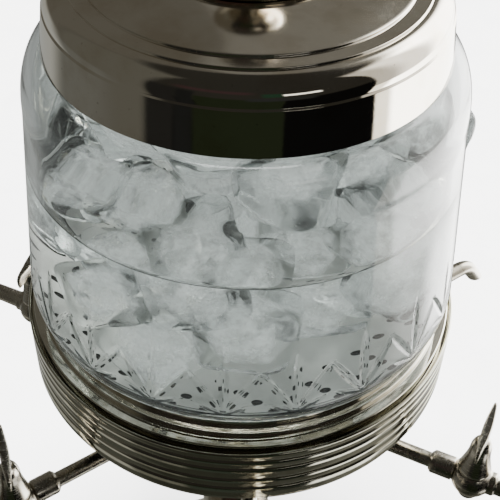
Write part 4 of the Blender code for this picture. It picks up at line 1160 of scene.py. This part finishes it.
def make_camera():
    heading = math.radians(CAMERA_AZIMUTH)
    pitch = math.radians(CAMERA_PITCH)
    roll = math.radians(CAMERA_ROLL)
    level = math.cos(pitch)
    ahead = Vector((math.cos(heading) * level, math.sin(heading) * level, -math.sin(pitch)))
    right = ahead.cross(Vector((0.0, 0.0, 1.0))).normalized()
    up = right.cross(ahead)
    right_rolled = right * math.cos(roll) + up * math.sin(roll)
    up_rolled = up * math.cos(roll) - right * math.sin(roll)
    data = bpy.data.cameras.new("camera")
    data.lens = CAMERA_LENS
    data.sensor_width = CAMERA_SENSOR
    data.clip_start = 0.01
    camera = add("camera", data)
    matrix = Matrix((right_rolled, up_rolled, -ahead)).transposed().to_4x4()
    matrix.translation = Vector(CAMERA_PLACE) * MM
    camera.matrix_world = matrix
    bpy.context.scene.camera = camera


# Floor and light
FLOOR_RADIUS = 6.0
FLOOR_DROP = 0.0002
LIGHT_PLACE = (0.0, 0.2, 6.0)
LIGHT_AIM = (0.0, 0.0, 0.25)
LIGHT_SIZE = 3.0
LIGHT_POWER = 2700.0


def make_stage():
    mesh = bpy.data.meshes.new("floor")
    work = bmesh.new()
    bmesh.ops.create_circle(work, cap_ends=True, segments=96, radius=FLOOR_RADIUS)
    work.to_mesh(mesh)
    work.free()
    floor = add("floor", mesh)
    floor.location.z = -FLOOR_DROP
    mesh.materials.append(FLOOR)
    floor.visible_glossy = False
    floor.visible_transmission = False


def make_light():
    data = bpy.data.lights.new("overhead", "AREA")
    data.shape = "RECTANGLE"
    data.size = data.size_y = LIGHT_SIZE
    data.energy = LIGHT_POWER
    light = add("overhead", data)
    light.location = LIGHT_PLACE
    light.rotation_euler = (Vector(LIGHT_PLACE) - Vector(LIGHT_AIM)).to_track_quat("Z", "Y").to_euler()
    light.visible_camera = False
    light.visible_glossy = False


# The room that the metal mirrors, fitted to how bright the metal is in the photo.
# Each patch has its azimuth from the front, its elevation, the softness of both, and a colour.
ROOM = (
    ((-400, 400), (-14, 95), (6, 5), (0.03, 0.029, 0.025)),
    ((115, 400), (-95, 61), (10, 4), (0.19, 0.185, 0.165)),
    ((-400, -115), (-95, 61), (10, 4), (0.115, 0.11, 0.095)),
    ((-118, -57), (-95, 60), (5, 6), (0.115, 0.113, 0.098)),
    ((-400, -84), (-40, -14), (12, 4), (0.14, 0.143, 0.133)),
    ((125, 235), (-50, -5), (10, 6), (0.45, 0.46, 0.44)),
    ((-235, -125), (-50, -5), (10, 6), (0.4, 0.41, 0.39)),
    ((63, 143), (-50, 52), (1.2, 5), (0.9, 0.86, 0.78)),
    ((80, 143), (-50, 50), (8, 5), (2.5, 2.45, 2.3)),
    ((106, 143), (-46, 46), (8, 6), (10.0, 10.0, 9.7)),
    ((63.5, 145), (-36, -15), (1.2, 2), (2.8, 2.7, 2.4)),
    ((74, 145), (-36, -15), (3, 2), (9.0, 9.0, 8.7)),
    ((-57, -42), (-42, 20), (2, 8), (0.02, 0.02, 0.019)),
    ((-42, -32), (-42, 20), (2, 8), (0.015, 0.016, 0.016)),
    ((-32, 14), (-42, 4), (1.5, 3), (0.018, 0.024, 0.013)),
    ((14, 63), (-42, 4), (1.0, 3), (0.005, 0.005, 0.005)),
    ((-400, -60), (-50, -42.5), (2, 0.8), (0.5, 0.5, 0.46)),
    ((-60, -30), (-50, -42.5), (5, 0.8), (0.22, 0.22, 0.19)),
    ((-30, 29), (-50, -42.5), (3, 0.8), (0.055, 0.068, 0.055)),
    ((5, 28), (-50, -42.5), (2, 0.8), (0.035, 0.04, 0.035)),
    ((34, 74), (-50, -42.5), (2, 0.8), (3.0, 3.0, 2.9)),
    ((74, 400), (-50, -42.5), (5, 0.8), (0.6, 0.6, 0.56)),
    ((-400, 400), (-95, -50.5), (12, 0.8), (0.2, 0.2, 0.175)),
    ((-125, 50), (-95, -50.5), (10, 0.8), (0.085, 0.088, 0.073)),
    ((-62, 8), (-95, -50.5), (10, 0.8), (0.045, 0.048, 0.037)),
    ((66, 104), (-95, -50.5), (8, 0.8), (0.24, 0.235, 0.2)),
    ((3, 14), (13, 27), (2, 2), (0.02, 0.05, 0.03)),
    ((14, 34), (17, 23), (1, 1), (2.6, 2.6, 2.5)),
    ((-44, -3), (24, 34), (5, 4), (0.05, 0.03, 0.032)),
    ((-5, 30), (-2, 10), (3, 3), (0.028, 0.03, 0.03)),
)
ROOM_DARK = (0.004, 0.004, 0.004)

# What is seen through glass, water and ice
THROUGH = (
    ((-400, -40), (-95, 95), (20, 10), (0.36, 0.38, 0.37)),
    ((50, 400), (-95, 95), (20, 10), (0.75, 0.78, 0.76)),
    ((75, 155), (-60, 60), (12, 10), (1.4, 1.4, 1.36)),
    ((105, 150), (-50, 50), (12, 10), (3.0, 3.0, 2.95)),
)
THROUGH_FRONT = (0.8, 0.83, 0.81)
BACKDROP = (6.0, 6.0, 6.0)


def room_colour(graph, azimuth, elevation, patches, colour):
    for (left, right), (bottom, top), (soft_sides, soft_ends), tint in patches:
        share = graph.times(graph.window(azimuth, left, right, soft_sides),
                           graph.window(elevation, bottom, top, soft_ends))
        colour = graph.mix(share, colour, tint)
    return colour


def make_world():
    world = bpy.data.worlds.new("studio")
    bpy.context.scene.world = world
    world.use_nodes = True
    graph = Graph(world.node_tree)
    split = graph.node("ShaderNodeSeparateXYZ")
    graph.feed(split.inputs[0], graph.node("ShaderNodeTexCoord").outputs["Generated"])
    x, y, z = split.outputs
    turn = 180.0 / math.pi
    azimuth = graph.times(graph.math("ARCTAN2", x, graph.times(y, -1.0)), turn)
    elevation = graph.times(graph.math("ARCSINE", z), turn)
    path = graph.node("ShaderNodeLightPath")
    mirrored = room_colour(graph, azimuth, elevation, ROOM, ROOM_DARK)
    through = room_colour(graph, azimuth, elevation, THROUGH, THROUGH_FRONT)
    colour = graph.mix(path.outputs["Is Transmission Ray"], mirrored, through)
    background = world.node_tree.nodes["Background"]
    graph.feed(background.inputs["Color"], graph.mix(path.outputs["Is Camera Ray"], colour, BACKDROP))
    background.inputs["Strength"].default_value = 1.0


make_foot()
make_pan()
make_collar()
make_strainer()
inner_wall = make_jar()
make_water(inner_wall)
make_ice()
make_lid()
make_taps()
make_camera()
make_stage()
make_light()
make_world()
for node, material in (
    ("foot_weight", IRON), ("tie_rod", STEEL), ("tie_rod_nut", STEEL), ("tie_rod_washer", STEEL),
    ("hub_gasket", RUBBER), ("jar_gasket", RUBBER), ("drain_bushing", NICKEL), ("finial_stud", STEEL),
    ("finial_nut", STEEL), *[(f"hub_nut_{n}", STEEL) for n in range(1, TAP_COUNT + 1)],
):
    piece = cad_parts[node]
    piece.data.materials.clear()
    piece.data.materials.append(material)
